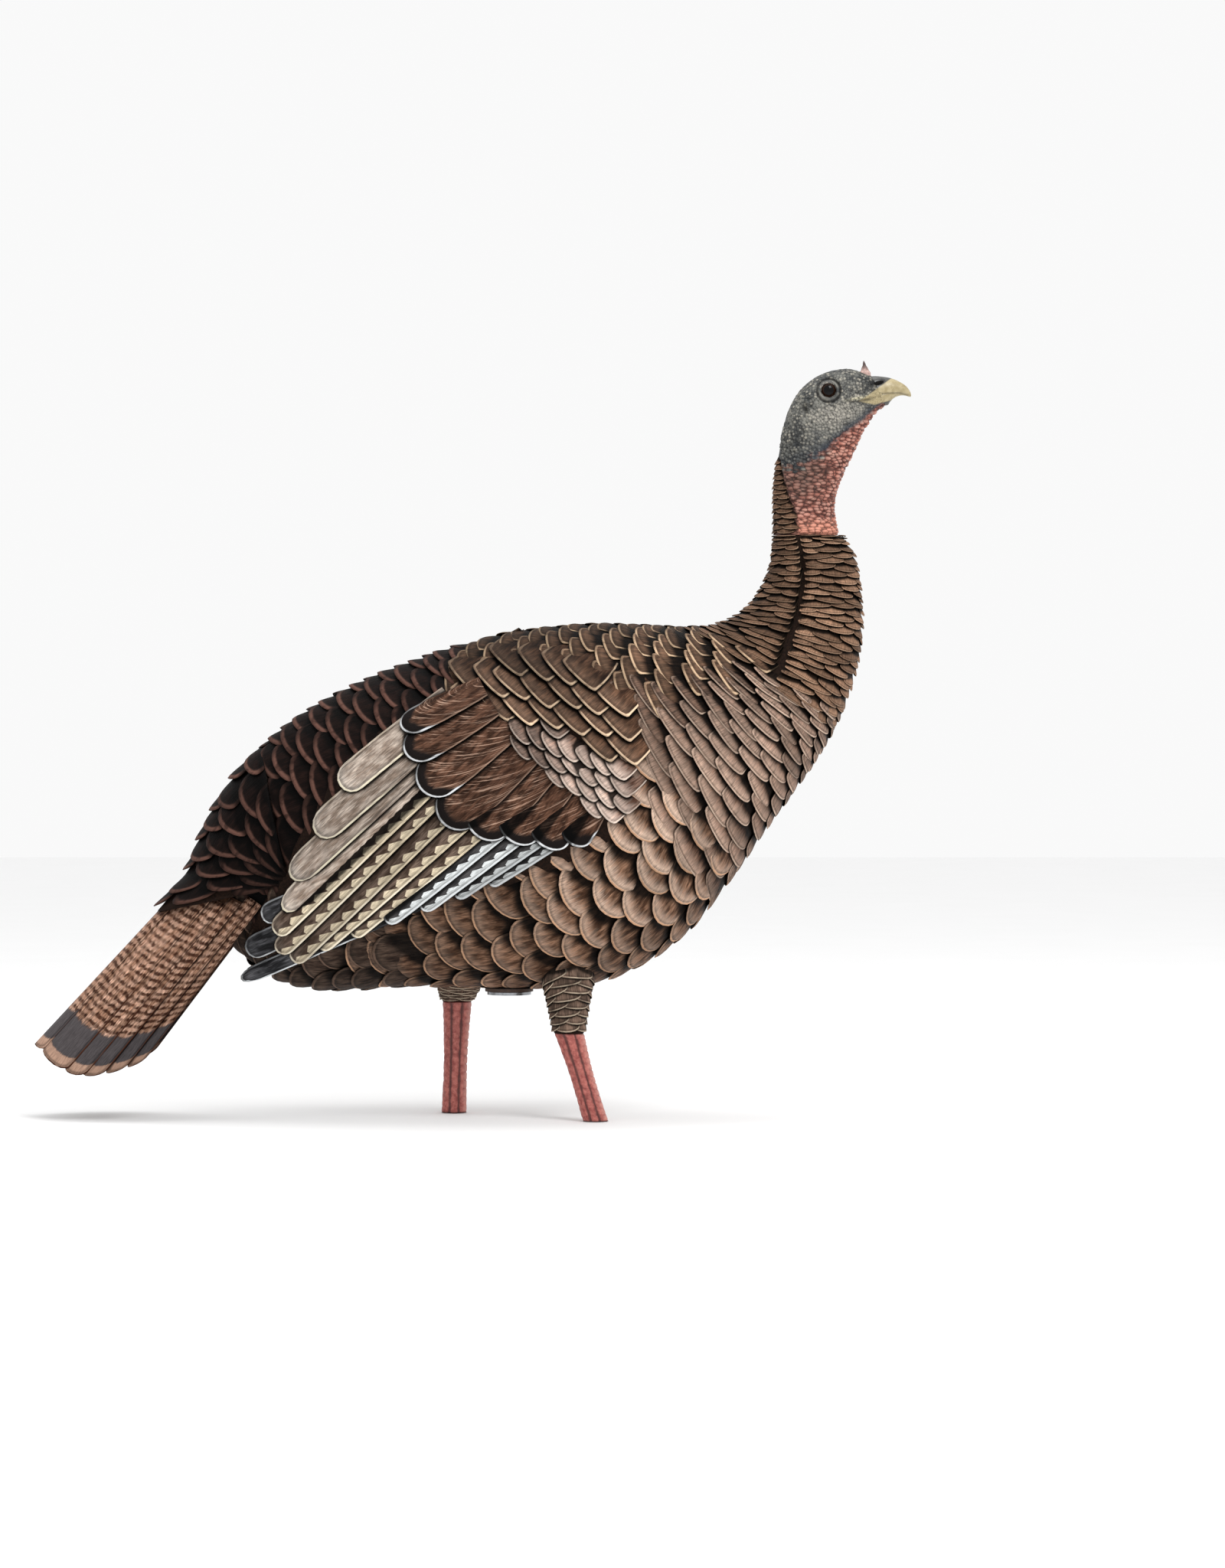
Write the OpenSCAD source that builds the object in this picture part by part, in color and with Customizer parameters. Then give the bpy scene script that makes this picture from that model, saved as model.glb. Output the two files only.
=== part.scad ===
// Turkey hen decoy: a life-size hollow hen that stands on a ground stake.
// Frame: +X towards the beak, +Z up, origin at the mouth of the stake bore under the belly.
// The body, head and tail skins are lofts through ribs. A rib is a section of the bird
// that spans from its back edge to its front edge in the XZ plane.

/* [Body] */
// Largest width of the body, without the wings
body_w = 220; // [200:2:236]
// Wall of the hollow body and head shells
shell_t = 2.5; // [2:0.25:3]
// Thickness of the folded wings at their middle
wing_t = 7; // [6:0.5:10]

/* [Stake] */
// Diameter of the ground stake that the bore takes
stake_d = 10; // [9:0.5:11]
// Depth of the stake bore
bore_l = 130; // [110:5:150]
// Swing of the body on the stake to each side, in degrees
swing = 40; // [15:5:60]

/* [Head] */
// Diameter of the neck spigot that the head turns on
spigot_d = 28; // [26:1:30]
// Diameter of the eyes
eye_d = 13; // [11:0.5:15]

/* [Legs] */
// Diameter of the shanks at their lower ends
shank_d = 22; // [18:1:24]
// Sideways distance of each leg from the middle plane
leg_y = 46; // [40:1:50]

/* [Tail] */
// Width of the closed tail across its lower edges
tail_w = 116; // [108:2:122]
// Thickness of the tail fan
tail_t = 7; // [5:0.5:9]

/* [Hidden] */

// Colours of the painted skins and of the fittings
feather_brown = [0.36, 0.25, 0.18];
rump_black = [0.14, 0.09, 0.08];
wing_taupe = [0.47, 0.41, 0.34];
tail_copper = [0.55, 0.37, 0.26];
skin_grey = [0.42, 0.44, 0.43];
shank_red = [0.66, 0.28, 0.25];
horn = [0.80, 0.75, 0.55];
nylon = [0.88, 0.87, 0.82];
black_plastic = [0.13, 0.13, 0.14];
steel = [0.66, 0.67, 0.69];

// Ribs of the body from the neck seam to the rump:
// back x, back z, front x, front z, share of half the body's width, shift of the widest point.
BODY_RIBS = [
  [241, 419, 306, 419, 0.25, 0.02],
  [239, 398, 316, 400, 0.29, 0.03],
  [231, 374, 321, 370, 0.35, 0.03],
  [214, 352, 323, 338, 0.44, 0.03],
  [189, 339, 317, 296, 0.56, 0.03],
  [158, 335, 302, 254, 0.71, 0.03],
  [122, 337, 277, 210, 0.83, 0.03],
  [82, 338, 241, 160, 0.92, 0.03],
  [38, 335, 202, 106, 0.97, 0.03],
  [-6, 329, 159, 54, 1.00, 0.04],
  [-50, 317, 101, 18, 1.00, 0.05],
  [-94, 302, 37, 7, 0.97, 0.06],
  [-140, 283, -34, 7, 0.90, 0.06],
  [-182, 260, -100, 9, 0.78, 0.04],
  [-221, 230, -160, 6, 0.62, 0],
  [-250, 192, -208, 14, 0.46, -0.04],
  [-274, 150, -240, 34, 0.32, -0.08],
  [-281, 120, -258, 62, 0.18, -0.04],
  [-280, 97, -272, 86, 0.03, 0]
];
// Ribs of the head from the neck seam to the foot of the beak: half widths are in millimetres.
HEAD_RIBS = [
  [241, 419.6, 300, 419.6, 24, 0.03],
  [241, 440, 296, 440, 21, 0.02],
  [241, 460, 297, 456, 20.5, 0.02],
  [243, 480, 302, 471, 21, 0],
  [246, 498, 308, 484, 22, -0.04],
  [250, 516, 314, 496, 22, -0.08],
  [256, 535, 319, 508, 21.5, -0.1],
  [267, 553, 325, 519, 20.5, -0.1],
  [285, 566, 332, 529, 18.5, -0.08],
  [306, 571, 338, 535, 15, -0.05],
  [322, 568, 343, 538, 11, 0],
  [330, 565, 345, 539.5, 8.5, 0]
];
// Outline of a wing on the body's ribs: rib number, upper angle, lower angle.
WING_RIBS = [
  [7, 64, 80], [8, 48, 92], [9, 36, 102], [10, 32, 102], [11, 36, 104],
  [12, 44, 110], [13, 58, 116], [14, 82, 124], [15, 108, 138], [16, 132, 158]
];
// Rows of the tail coverts: ridge x, ridge z, edge x, edge z, half width.
COVERT_ROWS = [
  [-227, 229, -204, 130, 69], [-253, 200, -208, 123, 67], [-272, 169, -212, 116, 65],
  [-286, 139, -217, 109, 62], [-298, 111, -221, 102, 61], [-324, 79, -225, 96, 60]
];

shaft_clear = 0.05;      // radial running clearance of the turning fits
fit_gap = 0.3;           // gap between shells that are bonded over each other
last_rib = len(BODY_RIBS) - 1;
head_end = len(HEAD_RIBS) - 1;
loft_step = 0.5;         // ribs are refined to this step
ring_step = 10;          // degrees between points on a half ring

sleeve_r = 8;            // outside of the swivel sleeve
bore_r = stake_d / 2 + 0.25;
tube_r = 12;             // outside of the stake tube
sleeve_l = bore_l + 8;
tube_top = 316;          // closed end of the stake tube under the back
cup_z = sleeve_l + 5;    // height of the pivot tip
collar_r = 22;
neck_hole_r = 16;        // hole in the belly for the collar
limiter_r = 16.5;        // radius on which the limiter pin travels
eye_at = [291, 551];     // x and z of the eyes
eye_y = 16.6;            // height of an eye's rim over the middle plane
snood_x = 326;           // place of the snood on the forehead
neck_x = 272;            // axis of the head's spigot
seam_z = 419;            // height of the seam between neck and head
spigot_r = spigot_d / 2;
tail_dir = [-0.676, 0, -0.737]; // the way the tail points
tail_up = [-0.737, 0, 0.676];   // square to the tail, out of its ridge
tail_ridge = [-298, 0, 101];    // root of the tail's ridge, under the coverts
tail_l = 199;            // length of the tail fan along its ridge
covert_t = 5;            // thickness of the coverts at their ends
peg_r = 4;               // pegs that hold a wing on the body
right_leg = [10.65, 55, -32, 79, 29.5];  // rib, thigh x, ankle z, foot x, screw head z
left_leg = [12.1, -49, -9, -52, 27.5];
tail_drop = 21;          // depth of the tail's plug and pin under its ridge
plug_r = 10;             // plug of the tail block in the rump
foot_z = -112;
$fn = 48;

// ---------- lofts through ribs ----------

// A smooth blend of four rows, from the second to the third as t goes from 0 to 1.
function blend(a, b, c, d, t) =
  0.5 * (2 * b + (c - a) * t + (2 * a - 5 * b + 4 * c - d) * t * t
  + (3 * b - 3 * c + d - a) * t * t * t);

function row(tab, u) =
  let (n = len(tab) - 1, i = min(n - 1, max(0, floor(u))))
  blend(tab[max(0, i - 1)], tab[i], tab[i + 1], tab[min(n, i + 2)], u - i);

// A point on the skin at rib u, th degrees round from the back edge. wide scales the half width.
function skin(tab, wide, u, th) =
  let (r = row(tab, u), h = (1 - cos(th)) / 2 + r[5] * pow(sin(th), 2))
  [r[0] + (r[2] - r[0]) * h, wide * r[4] * sin(th), r[1] + (r[3] - r[1]) * h];

function unit(v) = v / norm(v);

// The same point moved by off along the skin's outward normal.
function skin_off(tab, wide, u, th, off) =
  let (n = len(tab) - 1, lo = max(0, u - 0.05), hi = min(n, u + 0.05))
  skin(tab, wide, u, th) + off * unit(cross(
    skin(tab, wide, u, th + 2) - skin(tab, wide, u, th - 2),
    skin(tab, wide, hi, th) - skin(tab, wide, lo, th)));

function body_at(u, th, off = 0) = skin_off(BODY_RIBS, body_w / 2, u, th, off);
function head_at(u, th, off = 0) = skin_off(HEAD_RIBS, 1, u, th, -off);

// ---------- solids from grids of points ----------

function quad(a, b, c, d) = [[a, b, c], [a, c, d]];

// A closed solid between two grids of points that have the same size.
module between(outer, inner) {
  m = len(outer);
  n = len(outer[0]);
  s = m * n;
  points = [for (g = [outer, inner]) for (r = g) for (p = r) p];
  faces = [
    for (i = [0:m - 2], j = [0:n - 2]) let (a = i * n + j)
      each concat(quad(a, a + n, a + n + 1, a + 1),
                  quad(s + a, s + a + 1, s + a + n + 1, s + a + n)),
    for (j = [0:n - 2]) let (e = (m - 1) * n + j) each concat(
      quad(j, j + 1, s + j + 1, s + j),
      quad(e, s + e, s + e + 1, e + 1)),
    for (i = [0:m - 2]) let (a = i * n, b = i * n + n - 1) each concat(
      quad(a, s + a, s + a + n, a + n),
      quad(b, b + n, s + b + n, s + b))
  ];
  polyhedron(points, faces, convexity = 8);
}

// A closed solid through a list of rings that have the same number of points.
module through(rings) {
  m = len(rings);
  n = len(rings[0]);
  centre = function(r) [for (k = [0:2]) [for (p = r) 1] * [for (p = r) p[k]] / len(r)];
  points = concat([for (r = rings) for (p = r) p], [centre(rings[0]), centre(rings[m - 1])]);
  faces = [
    for (i = [0:m - 2], j = [0:n - 1]) let (k = (j + 1) % n)
      each quad(i * n + j, (i + 1) * n + j, (i + 1) * n + k, i * n + k),
    for (j = [0:n - 1]) let (k = (j + 1) % n) each
      [[m * n, j, k], [m * n + 1, (m - 1) * n + k, (m - 1) * n + j]]
  ];
  polyhedron(points, faces, convexity = 6);
}

// An ellipse about c, with half axes along the vectors a and b.
function ellipse_ring(c, a, b, n = 24) = [for (i = [0:n - 1]) c + a * cos(360 * i / n) + b * sin(360 * i / n)];

function lerp(a, b, t) = a + (b - a) * t;

// Rings that grow over the body's skin to a loop about (u, th), so that a limb's top fits the body.
function root_rings(u, th, du, dth, off, n = 24) = [
  for (s = [0.25, 0.5, 0.75, 1])
    [for (i = [0:n - 1]) body_at(u - s * du * cos(360 * i / n), th + s * dth * sin(360 * i / n), off)]
];

// ---------- body ----------

module half_shell(side) {
  us = [0:loft_step:last_rib];
  ths = [0:ring_step:180];
  color(feather_brown) mirror([0, side < 0 ? 1 : 0, 0]) difference() {
    between([for (u = us) [for (th = ths) body_at(u, th)]],
            [for (u = us) [for (th = ths) body_at(u, th, -min(shell_t, 1 + 3 * (last_rib - u)))]]);
    translate([0, 0, -1]) cylinder(h = 30, r = neck_hole_r);
    for (p = peg_places) peg_hole(p);
    leg_hole(side < 0 ? right_leg : left_leg);
    along_tail(-60) cylinder(h = 90, r = plug_r + 0.2);
  }
}

// Places of a wing's pegs, as rib number and angle.
peg_places = [[9.4, 72], [12.6, 88]];

module on_body(p, off) {
  at = body_at(p[0], p[1], off);
  out = unit(body_at(p[0], p[1], 1) - body_at(p[0], p[1]));
  translate(at) rotate([0, acos(out[2]), atan2(out[1], out[0])]) children();
}

module peg_hole(p) {
  on_body(p, -12) cylinder(h = 24, r = peg_r + 0.1);
}

module leg_hole(leg) {
  translate([leg[1], leg_y, 0]) cylinder(h = 45, r = 2.6);
}

module seam_dowels() {
  color(nylon) for (p = [[3, 0], [6.5, 0], [11, 0], [13.5, 0], [3.5, 180], [7, 180]]) {
    at = body_at(p[0], p[1], -shell_t - 4.4);
    translate([at[0], 0, at[2]]) rotate([90, 0, 0]) cylinder(h = 16, r = 3, center = true);
  }
}

// Pad that carries the back on the end of the stake tube.
module back_pad() {
  us = [8.4:0.2:10.2];
  ths = [-14:4:14];
  color(black_plastic) difference() {
    between([for (u = us) [for (th = ths) body_at(u, th, -shell_t - 1)]],
            [for (u = us) [for (th = ths) body_at(u, th, -shell_t - 13)]]);
    cylinder(h = 600, r = tube_r + 0.1);
  }
}

// ---------- stake swivel ----------

module swivel_sleeve() {
  color(steel) difference() {
    rotate_extrude() polygon([
      [0, 0], [collar_r - 2, 0], [collar_r - 2, 2.6], [sleeve_r, 2.6], [sleeve_r, sleeve_l],
      [3, sleeve_l], [3, cup_z - 1.5], [1.5, cup_z], [0, cup_z]
    ]);
    translate([0, 0, -1]) cylinder(h = bore_l + 1, r = bore_r);
    translate([limiter_r, 0, -1]) cylinder(h = 6, r = 1.5);
  }
}

// Pin in the sleeve's flange that meets the ends of the collar's slot.
module limiter_pin() {
  color(steel) translate([limiter_r, 0, 0.4]) cylinder(h = 4, r = 1.5);
}

module belly_collar() {
  slot_half = swing + asin(1.7 / limiter_r);
  color(black_plastic) difference() {
    rotate_extrude() polygon([
      [tube_r + 0.05, 3], [collar_r, 3], [collar_r, 6], [15.6, 6], [15.6, 26], [tube_r + 0.05, 26]
    ]);
    rotate([0, 0, -slot_half]) translate([0, 0, 2.5])
      rotate_extrude(angle = 2 * slot_half) translate([limiter_r - 1.7, 0]) square([3.4, 2.5]);
  }
}

module collar_gasket() {
  color(black_plastic) translate([0, 0, 6]) difference() {
    cylinder(h = 0.4, r = collar_r - 1);
    translate([0, 0, -1]) cylinder(h = 3, r = 15.65);
  }
}

module collar_nut() {
  color(black_plastic) translate([0, 0, 16]) difference() {
    cylinder(h = 8, r = 24, $fn = 6);
    translate([0, 0, -1]) cylinder(h = 10, r = 15.65);
  }
}

module stake_tube() {
  color(black_plastic) difference() {
    translate([0, 0, 4.8]) cylinder(h = tube_top - 4.8, r = tube_r);
    translate([0, 0, 4]) cylinder(h = tube_top - 8, r = tube_r - 1.8);
  }
}

module bush(z, h) {
  color(nylon) translate([0, 0, z]) difference() {
    cylinder(h = h, r = tube_r - 1.82);
    translate([0, 0, -1]) cylinder(h = h + 2, r = sleeve_r + shaft_clear);
  }
}

// Plug with a dished face that rides on the sleeve's pivot tip.
module pivot_cup() {
  color(nylon) translate([0, 0, sleeve_l + 2]) difference() {
    cylinder(h = 16, r = tube_r - 1.82);
    translate([0, 0, -0.01]) cylinder(h = 3.06, r1 = 5, r2 = 3.5);
  }
}

// ---------- neck joint ----------

module neck_plate() {
  color(black_plastic) difference() {
    through([for (u = [0.35, 0.6]) [for (i = [0:35]) body_at(u, i * 10, -shell_t - 0.2)]]);
    translate([neck_x, 0, 380]) cylinder(h = 60, r = spigot_r + 3);
  }
}

module neck_socket() {
  color(nylon) translate([neck_x, 0, seam_z]) difference() {
    union() {
      translate([0, 0, -26]) cylinder(h = 21, r = spigot_r + 2.95);
      translate([0, 0, -5]) cylinder(h = 2, r = spigot_r + 4.5);
    }
    translate([0, 0, -30]) cylinder(h = 40, r = spigot_r + shaft_clear);
  }
}

module neck_spigot() {
  color(black_plastic) translate([neck_x, 0, seam_z]) difference() {
    rotate_extrude() polygon([
      [spigot_r - 3, -32], [spigot_r, -32], [spigot_r, -29], [spigot_r - 1.5, -29],
      [spigot_r - 1.5, -27.2], [spigot_r, -27.2], [spigot_r, -17], [spigot_r - 1.8, -17],
      [spigot_r - 1.8, -15], [spigot_r, -15], [spigot_r, -2.6], [spigot_r + 4.5, -2.6],
      [spigot_r + 4.5, 0.4], [spigot_r, 0.4], [spigot_r, 8], [spigot_r - 3, 8]
    ]);
  }
}

module spigot_oring() {
  color(black_plastic) translate([neck_x, 0, seam_z - 16])
    rotate_extrude() translate([spigot_r - 0.9, 0]) circle(r = 0.85);
}

module spigot_clip() {
  color(steel) translate([neck_x, 0, seam_z - 28.9]) rotate([0, 0, 20]) rotate_extrude(angle = 320)
    translate([spigot_r - 1.4, 0]) square([3.8, 1.6]);
}

// ---------- wings ----------

function wing_row(u) = row(WING_RIBS, u - 7);

module wing(side) {
  m = 20;
  n = 8;
  function at(i, j, off) = let (u = 7 + 8.5 * i / m, w = wing_row(u)) body_at(u, lerp(w[1], w[2], j / n), off);
  function thick(i, j) = 2 + (wing_t - 2) * sqrt(sin(180 * i / m) * sin(180 * j / n));
  color(wing_taupe) mirror([0, side < 0 ? 1 : 0, 0]) union() {
    between([for (i = [0:m]) [for (j = [0:n]) at(i, j, thick(i, j))]],
            [for (i = [0:m]) [for (j = [0:n]) at(i, j, fit_gap + 0.6)]]);
    for (p = peg_places) on_body(p, -12) cylinder(h = 15, r = peg_r);
  }
}

// Spring nuts that grip the wing pegs inside the shell.
module wing_push_nuts() {
  color(steel) for (side = [0, 1], p = peg_places) mirror([0, side, 0]) on_body(p, -4.8) difference() {
    cylinder(h = 1, r = 9);
    translate([0, 0, -1]) cylinder(h = 3, r = peg_r);
  }
}

// ---------- legs ----------

function thigh_rings(leg) =
  let (top = root_rings(leg[0], 156, 0.42, 12, fit_gap + 0.6),
       ankle = ellipse_ring([leg[1], leg_y, leg[2]], [14.5, 0, 0], [0, -13, 0]))
  concat(top, [for (t = [0.2:0.2:1]) [for (i = [0:23])
    let (p = lerp(top[3][i], ankle[i], pow(t, 0.7))) [p[0], p[1], lerp(top[3][i][2], ankle[i][2], t)]]]);

module thigh(side, leg) {
  color(feather_brown) mirror([0, side < 0 ? 1 : 0, 0]) difference() {
    through(thigh_rings(leg));
    translate([leg[1], leg_y, leg[2] + 9]) cylinder(h = 60, r = 2);
  }
}

module shank(side, leg) {
  top = [leg[1], leg_y, leg[2] - 0.1];
  foot = [leg[3], leg_y, foot_z];
  color(shank_red) mirror([0, side < 0 ? 1 : 0, 0]) through([
    for (t = [0:0.125:1])
      let (r = lerp(13, shank_d / 2, t) - 1.6 * sin(180 * t))
      ellipse_ring(lerp(top, foot, t), [r, 0, 0], [0, -r * 0.85, 0])
  ]);
}

module leg_screws() {
  color(steel) for (s = [[1, left_leg], [-1, right_leg]])
    translate([s[1][1], s[0] * leg_y, 0]) {
      translate([0, 0, s[1][2] + 10]) cylinder(h = s[1][4] - s[1][2] - 10, r = 1.95);
      translate([0, 0, s[1][4]]) cylinder(h = 3, r = 5);
    }
}

// ---------- tail ----------

// A point of the coverts: t runs from their roots on the body to their ends, s across them.
function covert_pt(t, s) =
  let (r = row(COVERT_ROWS, t * (len(COVERT_ROWS) - 1)), h = pow(abs(s), 1.8))
  [r[0] + (r[2] - r[0]) * h, r[4] * sin(90 * s), r[1] + (r[3] - r[1]) * h];

// A point of the closed tail: d runs from its root to its tip, s across it.
// It is a roof: its ridge is the upper edge and its sides droop.
function tail_pt(d, s) =
  let (h = pow(abs(s), 1.5), far = tail_l * (1 - 0.31 * pow(abs(s), 5)))
  tail_ridge + tail_dir * (d * far - 22 * h * (1 - d)) - tail_up * (71 + 14 * d) * h
  + [0, tail_w / 2 * (0.93 + 0.07 * d) * sin(90 * s), 0];

function covert_at(t, s, off = 0) =
  covert_pt(t, s) + off * unit(cross(covert_pt(t, s + 0.02) - covert_pt(t, s - 0.02),
    covert_pt(min(1, t + 0.02), s) - covert_pt(max(0, t - 0.02), s)));

function tail_at(d, s, off = 0) =
  tail_pt(d, s) + off * unit(cross(tail_pt(d, s + 0.02) - tail_pt(d, s - 0.02),
    tail_pt(min(1, d + 0.02), s) - tail_pt(max(0, d - 0.02), s)));

module tail_coverts() {
  ts = [0:0.125:1];
  ss = [-1:0.125:1];
  color(rump_black)
    between([for (t = ts) [for (s = ss) covert_at(t, s)]],
            [for (t = ts) [for (s = ss) covert_at(t, s, -covert_t * (0.35 + 0.65 * sin(150 * t)))]]);
}

module along_tail(d = 0) {
  translate(tail_ridge - tail_up * tail_drop + tail_dir * d)
    rotate([0, atan2(tail_dir[0], tail_dir[2]), 0]) children();
}

module tail_fan() {
  ds = [0:0.1:1];
  ss = [-1:0.125:1];
  color(tail_copper)
    difference() {
      between([for (d = ds) [for (s = ss) tail_at(d, s)]],
              [for (d = ds) [for (s = ss) tail_at(d, s, -tail_t * (1 - 0.6 * abs(s)))]]);
      tail_cross() cylinder(h = 120, r = 2.5, center = true);
    }
}

// Loaf that fills the root of the fan, with a plug that enters the rump.
module tail_block() {
  ds = [0.03:0.05:0.28];
  ss = [-0.5:0.125:0.5];
  top = [for (d = ds) [for (s = ss) tail_at(d, s, -tail_t - fit_gap)]];
  low = [for (r = top) [for (p = r) p - tail_up * ((p - tail_ridge) * tail_up + 36)]];
  color(black_plastic) difference() {
    union() {
      between(top, low);
      along_tail(-40) cylinder(h = 50, r = plug_r);
    }
    tail_cross() cylinder(h = 120, r = 2.45, center = true);
  }
}

module tail_cross() {
  along_tail(26) rotate([90, 0, 0]) children();
}

module tail_pin() {
  color(steel) tail_cross() cylinder(h = 62, r = 2.4, center = true);
}

module tail_nut() {
  color(steel) along_tail(-38) difference() {
    cylinder(h = 6, r = 15.5, $fn = 6);
    translate([0, 0, -1]) cylinder(h = 8, r = plug_r);
  }
}

// ---------- head ----------

module head_shell() {
  us = [for (u = [0:loft_step:head_end]) u];
  outer = [for (u = us) [for (i = [0:23]) head_at(u, -i * 15)]];
  inner = [for (u = us) if (u < 9.6) [for (i = [0:23]) head_at(u, -i * 15, -shell_t)]];
  color(skin_grey) difference() {
    through(outer);
    through(concat([[for (p = inner[0]) p - [0, 0, 1]]], inner));
    translate([eye_at[0], 0, eye_at[1]]) rotate([90, 0, 0])
      cylinder(h = 80, r = eye_d / 2 + 0.05, center = true);
    translate([snood_x, 0, 561]) cylinder(h = 20, r = 4.05);
  }
}

module head_base() {
  color(black_plastic) difference() {
    through([for (u = [0.06, 0.28]) [for (i = [0:23]) head_at(u, -i * 15, -shell_t - 0.3)]]);
    translate([neck_x, 0, 400]) cylinder(h = 40, r = spigot_r);
  }
}

// A domed eye on a plug that fills its hole in the head.
module eye(side) {
  color("black") translate([eye_at[0], 0, eye_at[1]]) rotate([side * -90, 0, 0]) {
    translate([0, 0, 11]) cylinder(h = eye_y - 11, r = eye_d / 2);
    translate([0, 0, eye_y]) intersection() {
      translate([0, 0, -7]) sphere(r = sqrt(pow(eye_d / 2, 2) + 49));
      cylinder(h = 10, r = eye_d / 2);
    }
  }
}

// Rings of the beak from its foot to its hooked tip: middle x, middle z, half height, half width, lean.
BEAK_RINGS = [
  [339, 551.4, 15.6, 9, 28], [344, 553, 12.4, 8.4, 20], [350, 554, 9.2, 7, 12],
  [356, 553.4, 6.6, 5.4, 4], [361.5, 551.4, 4.4, 3.8, -8], [365, 548.6, 2.4, 2.2, -22],
  [366.6, 546.4, 0.8, 0.8, -35]
];

module beak() {
  color(horn) through([
    for (b = BEAK_RINGS)
      ellipse_ring([b[0], 0, b[1]], [-sin(b[4]) * b[2], 0, cos(b[4]) * b[2]], [0, -b[3], 0], 20)
  ]);
}

// A short fleshy spike on a plug in the forehead.
module snood() {
  color(skin_grey) translate([snood_x, 0, 562]) {
    cylinder(h = 5, r = 4);
    translate([0, 0, 5]) rotate([0, -3, 0]) cylinder(h = 11, r1 = 3.9, r2 = 0.9);
  }
}

swivel_sleeve();
limiter_pin();
belly_collar();
collar_gasket();
collar_nut();
stake_tube();
bush(6, 16);  // lower_bush
bush(sleeve_l - 18, 16);  // upper_bush
pivot_cup();
back_pad();
half_shell(1);  // body_shell_left
half_shell(-1);  // body_shell_right
seam_dowels();
neck_plate();
neck_socket();
wing(1);  // wing_left
wing(-1);  // wing_right
wing_push_nuts();
thigh(1, left_leg);  // thigh_left
thigh(-1, right_leg);  // thigh_right
shank(1, left_leg);  // shank_left
shank(-1, right_leg);  // shank_right
leg_screws();
tail_coverts();
tail_fan();
tail_block();
tail_nut();
tail_pin();
head_shell();
head_base();
neck_spigot();
spigot_oring();
spigot_clip();
eye(1);  // eye_left
eye(-1);  // eye_right
beak();
snood();
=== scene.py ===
"""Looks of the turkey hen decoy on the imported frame. Shapes are laid out in mm and made in metres."""
import math

import bpy
import numpy as np
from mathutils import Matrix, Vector


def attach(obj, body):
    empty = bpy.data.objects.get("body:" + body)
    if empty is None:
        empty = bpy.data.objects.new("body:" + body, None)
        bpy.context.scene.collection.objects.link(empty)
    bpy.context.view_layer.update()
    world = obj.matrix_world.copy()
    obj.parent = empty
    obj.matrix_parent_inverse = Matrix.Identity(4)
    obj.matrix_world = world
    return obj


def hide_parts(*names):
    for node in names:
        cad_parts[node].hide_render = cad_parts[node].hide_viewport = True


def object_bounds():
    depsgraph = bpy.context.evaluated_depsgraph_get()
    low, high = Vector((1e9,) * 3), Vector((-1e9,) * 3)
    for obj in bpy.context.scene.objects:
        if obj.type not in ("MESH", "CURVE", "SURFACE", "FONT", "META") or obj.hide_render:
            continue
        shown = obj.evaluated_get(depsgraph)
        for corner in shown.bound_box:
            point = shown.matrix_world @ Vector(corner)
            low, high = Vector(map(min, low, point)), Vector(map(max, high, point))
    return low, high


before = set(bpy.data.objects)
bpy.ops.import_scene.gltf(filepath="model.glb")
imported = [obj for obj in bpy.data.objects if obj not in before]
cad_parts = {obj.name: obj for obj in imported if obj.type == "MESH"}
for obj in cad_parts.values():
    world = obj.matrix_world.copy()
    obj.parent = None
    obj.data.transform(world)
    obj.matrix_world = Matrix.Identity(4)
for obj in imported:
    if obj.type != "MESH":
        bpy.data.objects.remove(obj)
cad_lo, cad_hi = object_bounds()
rng = np.random.default_rng(11)


def grid(a, b):
    return np.meshgrid(a, b, indexing="ij")


def xyz(*parts):
    return np.stack(parts, -1)


def hump(x):
    """1 where x is 0, falling to nothing by 2 on both sides."""
    return np.exp(-x ** 2)


def share(x):
    return float(np.clip(x, 0, 1))


# ---------------------------------------------------------------- skins of the frame, as in the CAD

HALF_W = 110
# Each rib: x and z on the back, x and z on the belly, half width over HALF_W, sag of the sides.
BODY_RIBS = np.array([
    [241, 419, 306, 419, 0.25, 0.02], [239, 398, 316, 400, 0.29, 0.03], [231, 374, 321, 370, 0.35, 0.03],
    [214, 352, 323, 338, 0.44, 0.03], [189, 339, 317, 296, 0.56, 0.03], [158, 335, 302, 254, 0.71, 0.03],
    [122, 337, 277, 210, 0.83, 0.03], [82, 338, 241, 160, 0.92, 0.03], [38, 335, 202, 106, 0.97, 0.03],
    [-6, 329, 159, 54, 1.00, 0.04], [-50, 317, 101, 18, 1.00, 0.05], [-94, 302, 37, 7, 0.97, 0.06],
    [-140, 283, -34, 7, 0.90, 0.06], [-182, 260, -100, 9, 0.78, 0.04], [-221, 230, -160, 6, 0.62, 0],
    [-250, 192, -208, 14, 0.46, -0.04], [-274, 150, -240, 34, 0.32, -0.08],
    [-281, 120, -258, 62, 0.18, -0.04], [-280, 97, -272, 86, 0.03, 0]])
# The same, with the half width in mm.
HEAD_RIBS = np.array([
    [241, 419.6, 300, 419.6, 24, 0.03], [241, 440, 296, 440, 21, 0.02], [241, 460, 297, 456, 20.5, 0.02],
    [243, 480, 302, 471, 21, 0], [246, 498, 308, 484, 22, -0.04], [250, 516, 314, 496, 22, -0.08],
    [256, 535, 319, 508, 21.5, -0.1], [267, 553, 325, 519, 20.5, -0.1], [285, 566, 332, 529, 18.5, -0.08],
    [306, 571, 338, 535, 15, -0.05], [322, 568, 343, 538, 11, 0], [330, 565, 345, 539.5, 8.5, 0]])
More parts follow.
